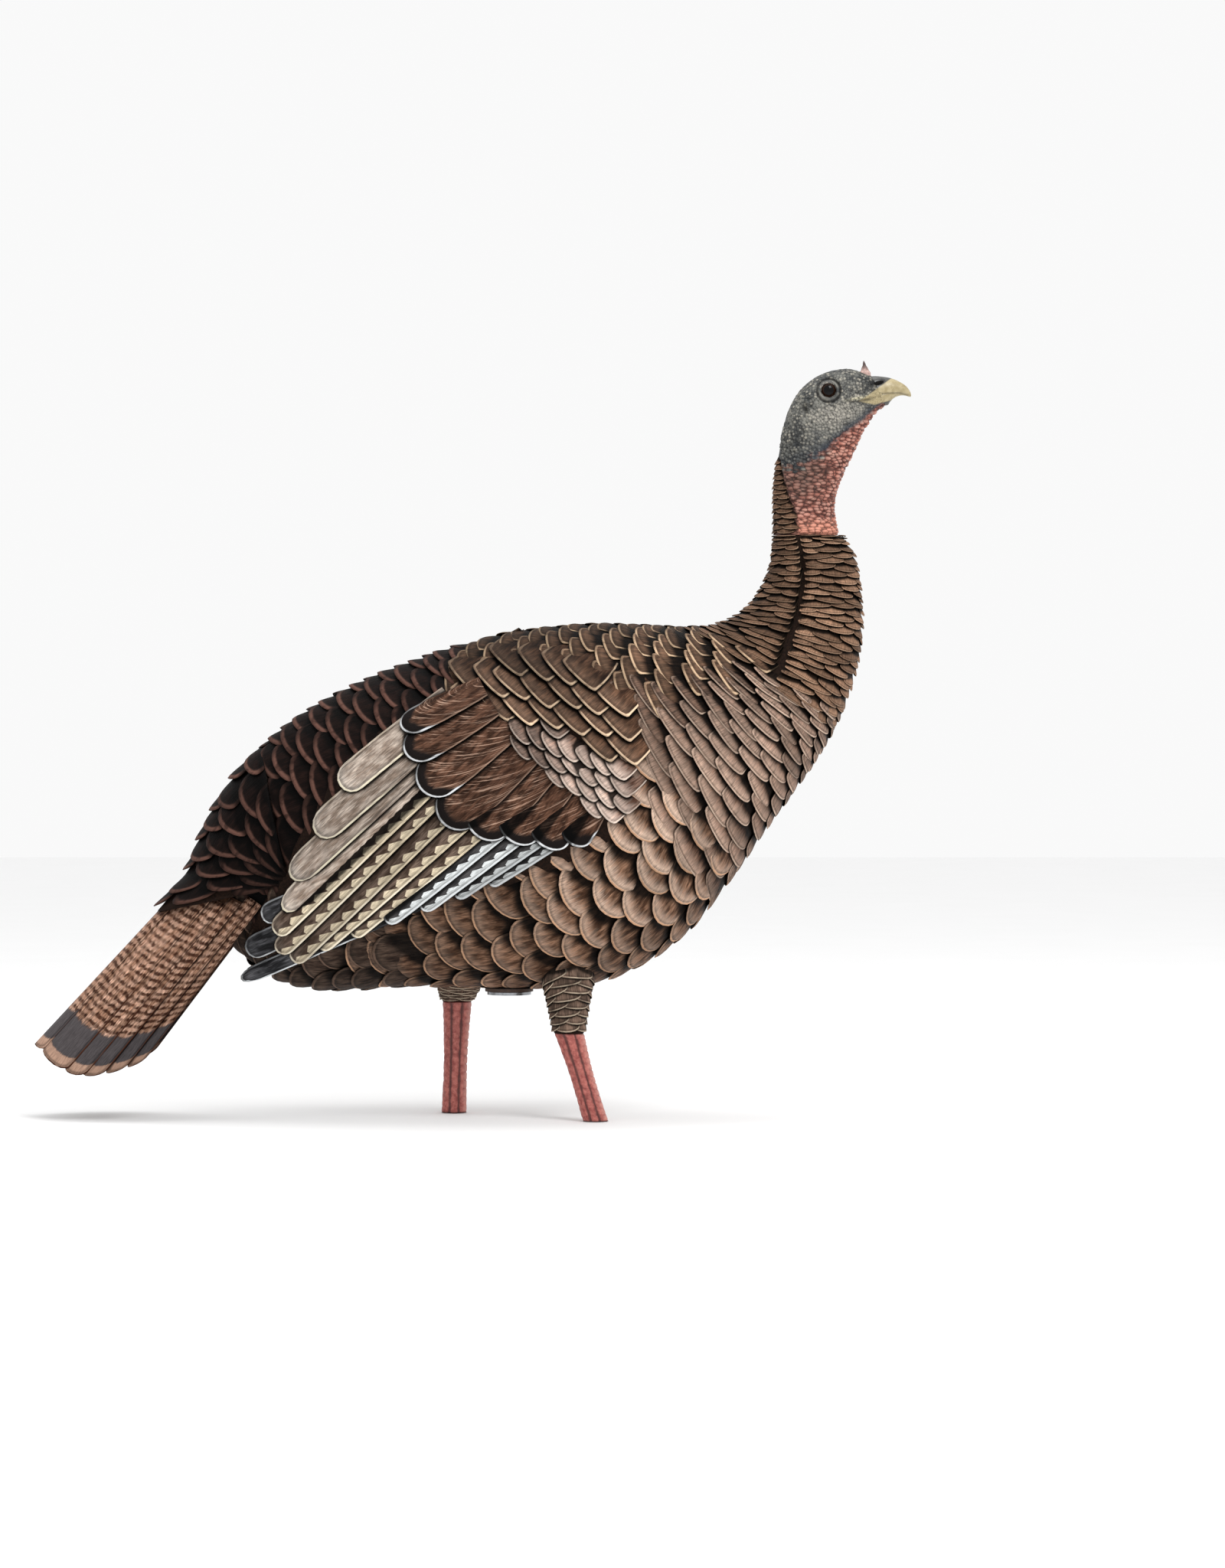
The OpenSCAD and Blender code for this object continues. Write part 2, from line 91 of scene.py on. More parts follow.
# x and z in the middle, x and z at the sides, half width.
COVERT_ROWS = np.array([
    [-227, 229, -204, 130, 69], [-253, 200, -208, 123, 67], [-272, 169, -212, 116, 65],
    [-286, 139, -217, 109, 62], [-298, 111, -221, 102, 61], [-324, 79, -225, 96, 60]])
# Rib number, and the angles of the wing's upper and lower edge.
WING_RIBS = np.array([
    [7, 64, 80], [8, 48, 92], [9, 36, 102], [10, 32, 102], [11, 36, 104],
    [12, 44, 110], [13, 58, 116], [14, 82, 124], [15, 108, 138], [16, 132, 158]])
TAIL_DIR = np.array([-0.676, 0, -0.737])
TAIL_UP = np.array([-0.737, 0, 0.676])
TAIL_LEN = 199


def spline(tab, u):
    """The smooth curve through a table's rows, at row number u."""
    n = len(tab) - 1
    i = np.clip(np.floor(u), 0, n - 1).astype(int)
    t = (u - i)[..., None]
    a, b, c, d = tab[np.maximum(i - 1, 0)], tab[i], tab[i + 1], tab[np.minimum(i + 2, n)]
    square, cube = 2 * a - 5 * b + 4 * c - d, 3 * b - 3 * c + d - a
    return 0.5 * (2 * b + (c - a) * t + square * t * t + cube * t ** 3)


def loft(tab, wide):
    def at(u, th):
        u, th = np.broadcast_arrays(np.asarray(u, float), np.radians(th))
        r = spline(tab, u)
        h = (1 - np.cos(th)) / 2 + r[..., 5] * np.sin(th) ** 2
        return xyz(r[..., 0] + (r[..., 2] - r[..., 0]) * h, wide * r[..., 4] * np.sin(th),
                   r[..., 1] + (r[..., 3] - r[..., 1]) * h)
    return at


def coverts_at(t, s):
    t, s = np.broadcast_arrays(np.asarray(t, float), np.asarray(s, float))
    r = spline(COVERT_ROWS, t * 5)
    h = np.abs(s) ** 1.8
    return xyz(r[..., 0] + (r[..., 2] - r[..., 0]) * h, r[..., 4] * np.sin(np.pi / 2 * s),
               r[..., 1] + (r[..., 3] - r[..., 1]) * h)


def tail_at(d, s):
    d, s = np.broadcast_arrays(np.asarray(d, float), np.asarray(s, float))
    h = np.abs(s) ** 1.5
    far = TAIL_LEN * (1 - 0.31 * np.abs(s) ** 5)
    p = np.array([-298, 0, 101.0]) + TAIL_DIR * (d * far - 22 * h * (1 - d))[..., None]
    p = p - TAIL_UP * ((71 + 14 * d) * h)[..., None]
    p[..., 1] += 58 * (0.93 + 0.07 * d) * np.sin(np.pi / 2 * s)
    return p


class Skin:
    """A surface with two parameters, with points lifted off it along its outward normal."""

    def __init__(self, at, flip, u_max, du, dv, u_min=0.0):
        self.at, self.flip, self.u_max, self.u_min, self.du, self.dv = at, flip, u_max, u_min, du, dv

    def lift(self, u, v, off):
        u = np.clip(u, self.u_min, self.u_max)
        hi, lo = np.minimum(u + self.du, self.u_max), np.maximum(u - self.du, self.u_min)
        n = np.cross(self.at(u, v + self.dv) - self.at(u, v - self.dv), self.at(hi, v) - self.at(lo, v))
        n /= np.linalg.norm(n, axis=-1, keepdims=True) + 1e-9
        return self.at(u, v) + n * np.asarray(off)[..., None] * self.flip

    def steps(self, u, v):
        """Parameter steps that make one millimetre, along u and along v."""
        u = np.clip(np.array(u), self.u_min + self.du, self.u_max - self.du)
        pu = np.linalg.norm(self.at(u + self.du, v) - self.at(u - self.du, v), axis=-1) / (2 * self.du)
        pv = np.linalg.norm(self.at(u, v + self.dv) - self.at(u, v - self.dv), axis=-1) / (2 * self.dv)
        return 1 / pu, 1 / pv


def slit_at(u):
    """Angle of the slit between the back and the front of the neck."""
    return np.interp(u, [0, 2.7, 4.5, 5.6], [67, 74, 88, 97])


class BodySkin(Skin):
    """The body with the slits down both sides of the neck."""

    def lift(self, u, v, off):
        a = np.abs((np.asarray(v) + 180) % 360 - 180)
        slit = hump((a - slit_at(u)) / 7.5) * np.clip((5.9 - u) / 0.9, 0, 1)
        slit = slit * np.clip((u - 0.65) / 0.6, 0, 1)
        return super().lift(u, v, off - 4.5 * slit)


BODY_END = 17.9
body_skin = BodySkin(loft(BODY_RIBS, HALF_W), 1, BODY_END, 0.05, 2.0)
head_skin = Skin(loft(HEAD_RIBS, 1), -1, 11, 0.05, 3.0)
covert_skin = Skin(coverts_at, 1, 1, 0.02, 0.02)
tail_skin = Skin(tail_at, 1, 1.02, 0.02, 0.02, -0.1)


class WingSkin:
    """The folded wing of one side, with x and z of the side view as its parameters."""

    def __init__(self, side):
        self.side, self.padded = side, True
        uu, tt = grid(np.linspace(5, 17.5, 76), np.linspace(6, 172, 60))
        self.uu, self.tt = uu.ravel(), tt.ravel()
        self.xz = body_skin.at(self.uu, self.tt)[:, [0, 2]]

    def find(self, x, z):
        """Rib number and angle of the body skin under a point of the side view."""
        want = xyz(np.ravel(x), np.ravel(z))
        near = np.empty(len(want), int)
        for k in range(0, len(want), 2000):
            gap = ((want[k:k + 2000, None, :] - self.xz[None]) ** 2).sum(-1)
            near[k:k + 2000] = gap.argmin(1)
        u, th = self.uu[near].copy(), self.tt[near].copy()
        for _ in range(5):
            p = body_skin.at(u, th)[:, [0, 2]]
            a = (body_skin.at(u + 0.01, th)[:, [0, 2]] - p) / 0.01
            b = (body_skin.at(u, th + 0.1)[:, [0, 2]] - p) / 0.1
            r = want - p
            det = a[:, 0] * b[:, 1] - a[:, 1] * b[:, 0]
            det = np.where(np.abs(det) < 1e-3, 1e-3, det)
            u = np.clip(u + np.clip((r[:, 0] * b[:, 1] - r[:, 1] * b[:, 0]) / det, -0.5, 0.5), 4, 16.0)
            th = np.clip(th + np.clip((a[:, 0] * r[:, 1] - a[:, 1] * r[:, 0]) / det, -8, 8), 4, 146)
        return u.reshape(np.shape(x)), th.reshape(np.shape(x))

    def pad(self, x, z, found=None):
        """How far the wing stands off the body under a point of the side view, in mm."""
        u, th = found or self.find(x, z)
        w = spline(WING_RIBS, np.clip(u, 7, 16) - 7)
        along = np.clip((u - 8) / 7.5, 0, 1)
        over = np.clip((th - w[..., 1]) / (w[..., 2] - w[..., 1]), 0, 1)
        return 5.5 * np.sqrt(np.sin(np.pi * along) * np.sin(np.pi * over))

    def lift(self, x, z, off):
        u, th = self.find(x, z)
        lens = 1.5 + (self.pad(x, z, (u, th)) if self.padded else 0.0)
        p = body_skin.lift(u, th, lens + off)
        foot = body_skin.at(u, th)
        p[..., 0] += x - foot[..., 0]
        p[..., 2] += z - foot[..., 2]
        p[..., 1] *= self.side
        return p


# ---------------------------------------------------------------- materials

def rgb(r, g, b):
    """Display colour, 0 to 255, as a linear one."""
    c = np.array([r, g, b]) / 255
    c = np.where(c <= 0.04045, c / 12.92, ((c + 0.055) / 1.055) ** 2.4)
    return (*(0.8 * c).tolist(), 1.0)


class Wire:
    """A node's output, with arithmetic that makes Math nodes."""

    def __init__(self, paint, socket):
        self.paint, self.socket = paint, socket

    def __add__(self, other):
        return self.paint.calc("ADD", self, other)

    def __mul__(self, other):
        return self.paint.calc("MULTIPLY", self, other)

    def __sub__(self, other):
        return self.paint.calc("SUBTRACT", self, other)

    def __rsub__(self, other):
        return self.paint.calc("SUBTRACT", other, self)


class Paint:
    """A node material under construction. A colour is given as a display colour."""

    def __init__(self, name, rough=0.55, spec=0.4):
        self.mat = bpy.data.materials.new(name)
        self.mat.use_nodes = True
        self.tree = self.mat.node_tree
        self.tree.nodes.clear()
        self.bsdf = self.node("BsdfPrincipled")
        self.tree.links.new(self.node("OutputMaterial").inputs["Surface"], self.bsdf.outputs[0])
        self.bsdf.inputs["Roughness"].default_value = rough
        self.bsdf.inputs["Specular IOR Level"].default_value = spec

    def node(self, kind, *values, **props):
        """A new node, with values for its first inputs."""
        n = self.tree.nodes.new("ShaderNode" + kind)
        for k, v in props.items():
            setattr(n, k, v)
        for socket, value in zip(n.inputs, values):
            self.put(socket, value)
        return n

    def put(self, socket, value):
        if isinstance(value, Wire):
            self.tree.links.new(socket, value.socket)
        elif value is not None:
            socket.default_value = rgb(*value) if isinstance(value, tuple) else value

    def out(self, n, socket=0):
        return Wire(self, n.outputs[socket])

    def calc(self, op, a, b=None):
        return self.out(self.node("Math", a, b, operation=op))

    def step(self, v, lo, hi, to_lo=0.0, to_hi=1.0):
        """Smooth change from to_lo at lo to to_hi at hi."""
        return self.out(self.node("MapRange", v, lo, hi, to_lo, to_hi, interpolation_type="SMOOTHSTEP"))

    def mix(self, fac, a, b):
        n = self.node("Mix", fac, data_type="RGBA")
        self.put(n.inputs[6], a)
        self.put(n.inputs[7], b)
        return self.out(n, 2)

    def shade(self, colour, value):
        """Colour times a grey value."""
        n = self.node("VectorMath", colour, operation="SCALE")
        self.put(n.inputs["Scale"], value)
        return self.out(n)

    def vec(self, x, y, z):
        return self.out(self.node("CombineXYZ", x, y, z))

    def parts(self, vector):
        n = self.node("SeparateXYZ", vector)
        return [self.out(n, k) for k in range(3)]

    def split(self, name):
        """The three numbers of one of the mesh's attributes."""
        return self.parts(self.out(self.node("Attribute", attribute_name=name), "Vector"))

    def place(self):
        """Position in the object's frame, in millimetres."""
        return self.shade(self.out(self.node("TexCoord"), "Object"), 1000.0)

    def noise(self, vec, scale=1.0, detail=2.0, rough=0.5):
        n = self.node("TexNoise", vec)
        for key, value in (("Scale", scale), ("Detail", detail), ("Roughness", rough)):
            n.inputs[key].default_value = value
        return self.out(n, "Fac")

    def crevice_shade(self, dist=0.004, power=1.5):
        """Painted shade: dark in gaps and under edges, 1 in the open."""
        n = self.node("AmbientOcclusion", samples=6)
        n.inputs["Distance"].default_value = dist
        return self.calc("POWER", self.out(n, "AO"), power)

    def bump(self, height, dist=0.0004, strength=0.7):
        n = self.node("Bump")
        for key, value in (("Distance", dist), ("Strength", strength), ("Height", height)):
            self.put(n.inputs[key], value)
        self.put(self.bsdf.inputs["Normal"], self.out(n))

    def finish(self, colour):
        self.put(self.bsdf.inputs["Base Color"], colour)
        return self.mat


def feather_paint(name, dark, mid, light, rim, rim_w=1.2, rim_on=0.9, glow=0.7, bars=None, tip=(), crev=1.9,
                  ao=0.005, groove_shade=0.45, rim_end=99.0, band=None, notch=None, barb=0.0, shadow=0.85,
                  grain=1.0, vary=0.2):
    """Painted feathers. rim_w is the pale edge's width in mm and rim_end how far from the tip it goes,
    bars is (colour, pitch mm, share), tip has (colour, from mm, to mm) from the feather's end,
    band is (colour, width mm) inside the rim, notch is (colour, pitch mm, gain) for wedges on the lower edge,
    barb is the strength of the pale hairs that lean out from the middle, shadow the dark under the covering
    feathers, grain the strength of the streaks, and vary the spread of greys from feather to feather."""
    p = Paint(name, 0.6, 0.05)
    x, y, e = p.split("feather")
    r, tint, deep = p.split("tone")
    gy, gx, sgn = p.split("grid")
    straight = p.split("run")[0]
    seed = r * 61.0
    streak = p.noise(p.vec(x * 0.85, y * 0.09, seed), 1.0, 3.0, 0.6)
    if barb:
        lean, run = y * 0.55 + x * 0.84, y * 0.84 - x * 0.55
        hair = p.noise(p.vec(lean * 0.85, run * 0.035, seed), 1.0, 3.0, 0.7)
    else:
        hair = p.noise(p.vec(x * 2.1, y * 0.13, seed), 1.0, 2.0, 0.6)
    mottle = p.noise(p.vec(x * 0.24, y * 0.07, seed), 1.0, 2.0)
    col = p.mix(p.step(mottle, 0.35, 0.65), dark, mid)
    # Lighter towards the tip where the tint is high: a painted highlight in place of sheen, partly the
    # decoy's dry-brushed paint.
    drybrush_and_highlight = p.step(y * 0.05 + streak, 1.3, 0.4) * tint
    col = p.mix(drybrush_and_highlight * glow, col, light)
    if bars:
        colour, pitch, part = bars
        wave = p.calc("FRACT", straight * (1 / pitch) + (streak + mottle * 2.0) * 0.45)
        saw = p.calc("ABSOLUTE", wave - 0.5)
        patch = p.noise(p.vec(x * 0.3, y * 0.03, seed), 1.0, 2.0)
        on = p.step(saw, 0.5 * part - 0.1, 0.5 * part + 0.1, 0.95, 0.0) * p.step(patch, 0.3, 0.6, 0.35, 1.0)
        col = p.mix(on, col, colour)
    if notch:
        colour, pitch, gain = notch
        wave = p.calc("FRACT", straight * (1 / pitch) + x * 0.02)
        reach = (x + 0.5) * -gain
        col = p.mix(p.step(reach - p.calc("ABSOLUTE", wave - 0.35), -0.03, 0.05), col, colour)
    col = p.shade(col, p.step(streak, 0.25, 0.75, 1 - 0.45 * grain, 1 + 0.38 * grain))
    if barb:
        col = p.mix(p.step(hair, 0.55, 0.66, 0.0, barb), col, light)
        col = p.mix(p.step(e, 1.4, 0.8) * p.step(gx, 0.2, -0.5, 0.0, 0.35), col, light)
    col = p.shade(col, p.step(hair, 0.3, 0.7, 0.66, 1.3))
    for colour, start, end in tip:
        soft = 0.12 * (end - start) + 0.4
        wob = y + (streak - 0.5) * (2 * soft)
        col = p.mix(p.step(wob, start - soft, start + 0.3) * p.step(wob, end + soft, end - 0.3), col, colour)
    if tip:
        col = p.shade(col, p.step(hair, 0.35, 0.65, 0.76, 1.26))
    near = p.step(y, rim_end * 1.2, rim_end * 0.8)
    if band:
        wob = e + (streak - 0.5) * 3.0
        col = p.mix(p.step(wob, band[1] * 1.15, band[1] * 0.75) * near, col, band[0])
    # A dark line just inside the rim, also dented in by the bump below: painted shade in that dent.
    line = p.step(e, rim_w, rim_w * 1.5) * p.step(e, rim_w * 3.2, rim_w * 1.7)
    col = p.shade(col, 1.0 - line * groove_shade)
    patchy = p.noise(p.vec(x * 0.14, y * 0.1, seed))
    edge = p.step(e, rim_w * 1.3, rim_w * 0.8) * near * p.step(patchy, 0.3, 0.5, rim_on * 0.35, rim_on)
    fade = p.step(gx * sgn, -0.75, -0.1, 0.25, 1.0)
    col = p.mix(edge * fade, col, rim)
    # Painted shadow under the covering feathers and painted shade in the gaps darken the colour, together
    # with each feather's random grey and its deep darkening.
    hid = p.step(gy, -0.5, -0.04, 0.0, shadow)
    tone = p.step(r, 0.0, 1.0, 1 - vary, 1 + vary) * (1.0 - deep) * (1.0 - hid)
    col = p.shade(col, tone * p.crevice_shade(ao, crev))
    p.bump(streak * 0.8 + hair * 0.45 - line * 0.6, 0.0007, 0.8)
    return p.finish(col)


def plain_paint(name, base, other, scale, rough, spec=0.4, bump=0.2, metal=0.0):
    """A worn moulded or machined finish: two close colours in fine noise, with a light grain."""
    p = Paint(name, rough, spec)
    p.bsdf.inputs["Metallic"].default_value = metal
    pos = p.place()
    n = p.noise(pos, scale, 4.0, 0.6)
    p.put(p.bsdf.inputs["Roughness"], p.step(n, 0.3, 0.7, rough - 0.07, rough + 0.08))
    p.bump(p.noise(pos, scale * 3, 3.0), 0.0002, bump)
    return p.finish(p.mix(p.step(n, 0.3, 0.7), base, other))


# ---------------------------------------------------------------- meshes

def new_mesh(name, points, quads, body, mat, attrs=None, replaces=(), slot=None):
    """A piece from points in millimetres and quads."""
    me = bpy.data.meshes.new(name)
    points = np.asarray(points, float).reshape(-1, 3) * 0.001
    quads = np.asarray(quads, np.int32).reshape(-1, 4)
    me.vertices.add(len(points))
    me.vertices.foreach_set("co", points.astype(np.float32).ravel())
    me.loops.add(quads.size)
    me.loops.foreach_set("vertex_index", quads.ravel())
    me.polygons.add(len(quads))
    me.polygons.foreach_set("loop_start", np.arange(0, quads.size, 4, dtype=np.int32))
    me.polygons.foreach_set("use_smooth", np.full(len(quads), True))
    me.update(calc_edges=True)
    for key, val in (attrs or {}).items():
        a = me.attributes.new(key, "FLOAT_VECTOR", "POINT")
        a.data.foreach_set("vector", np.asarray(val, np.float32).ravel())
    me.validate()
    me.materials.append(mat)
    ob = bpy.data.objects.new(name, me)
    bpy.context.scene.collection.objects.link(ob)
    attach(ob, body)
    if replaces:
        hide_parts(*replaces)
    return ob


def grid_quads(m, n, wrap=False, start=0):
    i, j = grid(np.arange(m - 1), np.arange(n if wrap else n - 1))
    k = (j + 1) % n
    return xyz(i * n + j, (i + 1) * n + j, (i + 1) * n + k, i * n + k).reshape(-1, 4) + start


def inward(a, b, d, core):
    """Whether quads with the corners a, b and d face towards the core points."""
    return (np.cross(b - a, d - a) * (a - core)).sum() < 0


# Feathers: points across and along, roundness and start of the tip, width at the root, thickness, crown
# and the rise of the tip in mm.
SCALE = dict(nx=11, ny=8, p=2.0, y0=0.74, base=0.8, thick=0.8, crown=0.8, curl=0.0)
VANE = dict(SCALE, nx=9, ny=26, p=2.4, y0=0.9, base=0.75)
OVERLAP = 1.15


def covered(u, v, over):
    """How far in mm points are inside the outlines of the feathers that lie over them."""
    best = np.full(u.shape, -99.0)
    for r, s in over:
        du, dv = u - r[0], v - r[1]
        y = 1 - (du * r[2] + dv * r[3]) / r[6]
        x = np.abs(du * r[4] + dv * r[5])
        half = (s["base"] + (1 - s["base"]) * np.clip(y / 0.55, 0, 1) ** 0.7) * r[7] / 2
        top = s["y0"] + (1 - s["y0"]) * np.sqrt(np.maximum(0, 1 - np.minimum(x / half, 1) ** s["p"]))
        best = np.maximum(best, np.minimum(np.minimum(half - x, (top - y) * r[6]), y * r[6] + 2))
    return best


def plumage(name, skin, f, mat, shape=SCALE, slot="painted_feathers", body="body", over=None):
    """A tract of closed, crowned feathers. f holds one row for each feather:
    tip u, tip v, back u, back v, across u, across v (parameter steps per mm), length, width, low, high,
    tilt, bend, random, tint, deep, row pitch, and -1 where +v runs towards the back.
    over lists the rows and shapes of the feathers on top; without it, they come from the row pitch."""
    f = np.asarray(f, float)
    nx, ny, y0, thick = (shape[k] for k in ("nx", "ny", "y0", "thick"))
    xg = np.sin(np.linspace(-1, 1, nx) * math.pi / 2)
    yg = 1 - (1 - np.linspace(0, 1, ny)) ** 1.35
    gy, gx = grid(yg, xg)

    def fall(g):
        """How far the tip's outline falls back at a share g of the half width."""
        return 1 - np.sqrt(np.maximum(0, 1 - g ** shape["p"]))

    top = y0 + (1 - y0) * (1 - fall(np.abs(gx)))
    y = gy * top
    half = shape["base"] + (1 - shape["base"]) * np.clip(y / 0.55, 0, 1) ** 0.7
    tu, tv, bu, bv, au, av, ln, wd, low, high, tilt, bend, rnd, tint, deep, pitch, sgn = f.T[..., None, None]
    x = gx * half * wd / 2 + bend * (1 - y) ** 2
    back = (1 - y) * ln
    u, v = tu + back * bu + x * au, tv + back * bv + x * av
    crown = shape["crown"]
    z = low + (high - low) * y ** 1.5 + crown * (1 - gx ** 2) * (0.4 + 0.6 * y) - crown * 0.5 + tilt * gx
    z = z + shape["curl"] * np.clip((y - 0.8) / 0.2, 0, 1) ** 2
    rim = (np.abs(gx) > 0.99) | (gy > 0.99)
    up = skin.lift(u, v, z - 0.2 * rim * thick)
    down = skin.lift(u, v, z - thick * (1 - 0.15 * rim))
    side = (1 - np.abs(gx)) * half * wd / 2
    end = (top - y) * ln * 0.92
    e = 1 / np.sqrt(1 / np.maximum(side, 1e-3) ** 2 + 1 / np.maximum(end, 1e-3) ** 2)
    one = np.ones_like(u)
    if over is None:
        pitch = np.maximum(pitch, 0.5)
        cover = 1 + (1 - y0) * ln / pitch * (fall(np.clip(1 / OVERLAP - np.abs(gx), 0, 1)) - fall(np.abs(gx)))
        rows_up = np.where(f[:, 15, None, None] > 0, (top - y) * ln / pitch - cover, -9)
    else:
        over = [(row, shape) for row in f] + over
        rows_up = np.stack([np.clip(covered(u[k], v[k], over[k + 1:]) / 8.0, -3, 0.5) for k in range(len(f))])
    n = nx * ny
    q_up = grid_quads(ny, nx)
    ring = np.concatenate([np.arange(nx), np.arange(2, ny) * nx - 1,
                           np.arange(ny * nx - 1, (ny - 1) * nx - 1, -1), np.arange(ny - 2, 0, -1) * nx])
    nxt = np.roll(ring, -1)
    unit = np.concatenate([q_up, q_up[:, ::-1] + n, xyz(ring, nxt, nxt + n, ring + n)])
    pts = np.concatenate([up.reshape(len(f), n, 3), down.reshape(len(f), n, 3)], 1)
    if inward(*(pts[:, k] for k in unit[0, [0, 1, 3]]), pts[:, n]):
        unit = unit[:, ::-1]
    quads = (unit[None] + (np.arange(len(f)) * 2 * n)[:, None, None]).reshape(-1, 4)
    attrs = {"run": (back, x, 0), "feather": (x, (top - y) * ln, e), "tone": (rnd, tint, deep),
             "grid": (rows_up, gx, sgn)}
    attrs = {key: np.concatenate([xyz(*(a * one for a in val)).reshape(len(f), n, 3)] * 2, 1)
             for key, val in attrs.items()}
    return new_mesh(name, pts, quads, body, mat, attrs, slot=slot)


def tube_between(name, rings, body, mat, attrs=None, **kw):
    """A closed piece through rings of points."""
    rings = np.asarray(rings, float)
    m, n, _ = rings.shape
    pts = np.concatenate([rings.reshape(-1, 3), rings[0].mean(0)[None], rings[-1].mean(0)[None]])
    j = np.arange(0, n, 2)
    start, end = np.full(len(j), m * n), np.full(len(j), m * n + 1)
    a, b, c = j, (j + 1) % n, (j + 2) % n
    last = (m - 1) * n
    quads = np.concatenate([grid_quads(m, n, wrap=True), xyz(start, a, b, c),
                            xyz(end, last + c, last + b, last + a)])
    if inward(rings[:-1, 0], rings[1:, 0], rings[:-1, 1], rings.mean(1)[:-1]):
        quads = quads[:, ::-1]
    for k, v in (attrs or {}).items():
        attrs[k] = np.concatenate([v.reshape(-1, 3), v.reshape(-1, 3)[[0, -1]]])
    return new_mesh(name, pts, quads, body, mat, attrs, **kw)


def slab(name, outer, inner, mat, wrap=False, **kw):
    """A closed piece of the body between two grids of points."""
    m, n, _ = outer.shape
    ids = np.arange(m * n).reshape(m, n)
    rims = [ids[0], ids[-1, ::-1]]
    if not wrap:
        rims = [np.concatenate([ids[0, :-1], ids[:-1, -1], ids[-1, :0:-1], ids[:0:-1, 0]])]
    face = grid_quads(m, n, wrap)
    quads = [face, face[:, ::-1] + m * n]
    for rim in rims:
        nxt = np.roll(rim, -1)
        quads.append(xyz(rim, nxt, nxt + m * n, rim + m * n))
    quads = np.concatenate(quads)
    pts = np.concatenate([outer.reshape(-1, 3), inner.reshape(-1, 3)])
    if inward(*(pts[face[:, k]] for k in (0, 1, 3)), pts[face[:, 0] + m * n]):
        quads = quads[:, ::-1]
    return new_mesh(name, pts, quads, "body", mat, **kw)


def underlay(name, skin, us, vs, off, mat, wrap, **kw):
    """A near-black skin just under a tract of feathers: painted shade seen through the gaps between them."""
    u, v = grid(us, vs)
    slab(name, skin.lift(u, v, off + 0 * u), skin.lift(u, v, off - 1.2 + 0 * u), mat, wrap, **kw)


# ---------------------------------------------------------------- feather layout on the body

def at(value, u):
    return value(u) if callable(value) else value


def spread(u, a, b):
    """Angles against arc length along rib u, from angle a to angle b."""
    th = np.linspace(a, b, 181)
    p = body_skin.at(u, th)
    return th, np.concatenate([[0], np.cumsum(np.linalg.norm(np.diff(p, axis=0), axis=1))])


def rib_rows(u0, u1, per_unit):
    out = [u0]
    while out[-1] < u1:
        out.append(out[-1] + 1 / at(per_unit, out[-1]))
    return out


def lay(u0, u1, per_unit, spacing, keep, look, edge=None, wide=1.25, long=2.9, low=-3.0, high=2.2, tilt=0.8,
        turn=0.0, rough=1.0):
    """Feathers in rows along the ribs, in brick order. spacing is the distance across in mm, edge gives a
    row's first and last angle where it doesn't run all round, keep says where a feather stands, and look
    gives its tint and depth."""
    out = []
    for k, u in enumerate(rib_rows(u0, u1, per_unit)):
        rate_here = at(per_unit, u)
        th, s = spread(u, *(edge(u) if edge else (0, 360)))
        count = max(1, int(round(s[-1] / at(spacing, u))))
        step = s[-1] / count
        widths = np.full(count, step)
        if edge is None or k % 2 == 0:
            mids = (np.arange(count) + (0.5 if edge else 0.5 * (k % 2) + 0.25)) * step
        else:
            mids = np.arange(count + 1) * step
            mids[0], mids[-1] = step * 0.25, s[-1] - step * 0.25
            widths = np.full(count + 1, step)
            widths[[0, -1]] = step * 0.55
        for m, w in zip(mids, widths):
            free = 1.0 if (edge is None or 0.9 * step < m < s[-1] - 0.9 * step) else 0.35
            t = float(np.interp(m + rng.uniform(-0.08, 0.08) * step * free, s, th))
            uu = max(0.05, u + rng.uniform(-0.17, 0.17) * rough / rate_here)
            if not keep(uu, t):
                continue
            su, sv = body_skin.steps(uu, t)
            pitch = 1 / rate_here / su
            size = rng.uniform(0.92, 1.08)
            length = min(long * pitch * size, max(3.0, (uu - 0.01) / su))
            side = 1 if (t % 360) < 180 else -1
            ang = math.radians(turn * side + rng.uniform(-5, 5))
            ca, sa = math.cos(ang), math.sin(ang)
            out.append([uu, t, -ca * su, -sa * sv, -sa * su, ca * sv, length, w * wide * size, at(low, uu),
                        high + rng.uniform(-0.35, 0.35), -tilt * side * rng.uniform(0.6, 1.2),
                        rng.uniform(-1.5, 1.5), rng.random(), *look(uu, t), pitch, side])
    return out


def off_mid(t):
    """Angle from the back's ridge, 0 to 180, on either side."""
    t = t % 360
    return min(t, 360 - t)


def bare_of_wing(u, t, front=7.2, upper=12):
    if u < front:
        return True
    w = spline(WING_RIBS, np.array(min(max(u, 7.0), 16.0) - 7))
    return off_mid(t) < w[1] + upper or off_mid(t) > w[2] - 12


# ---------------------------------------------------------------- looks of each tract

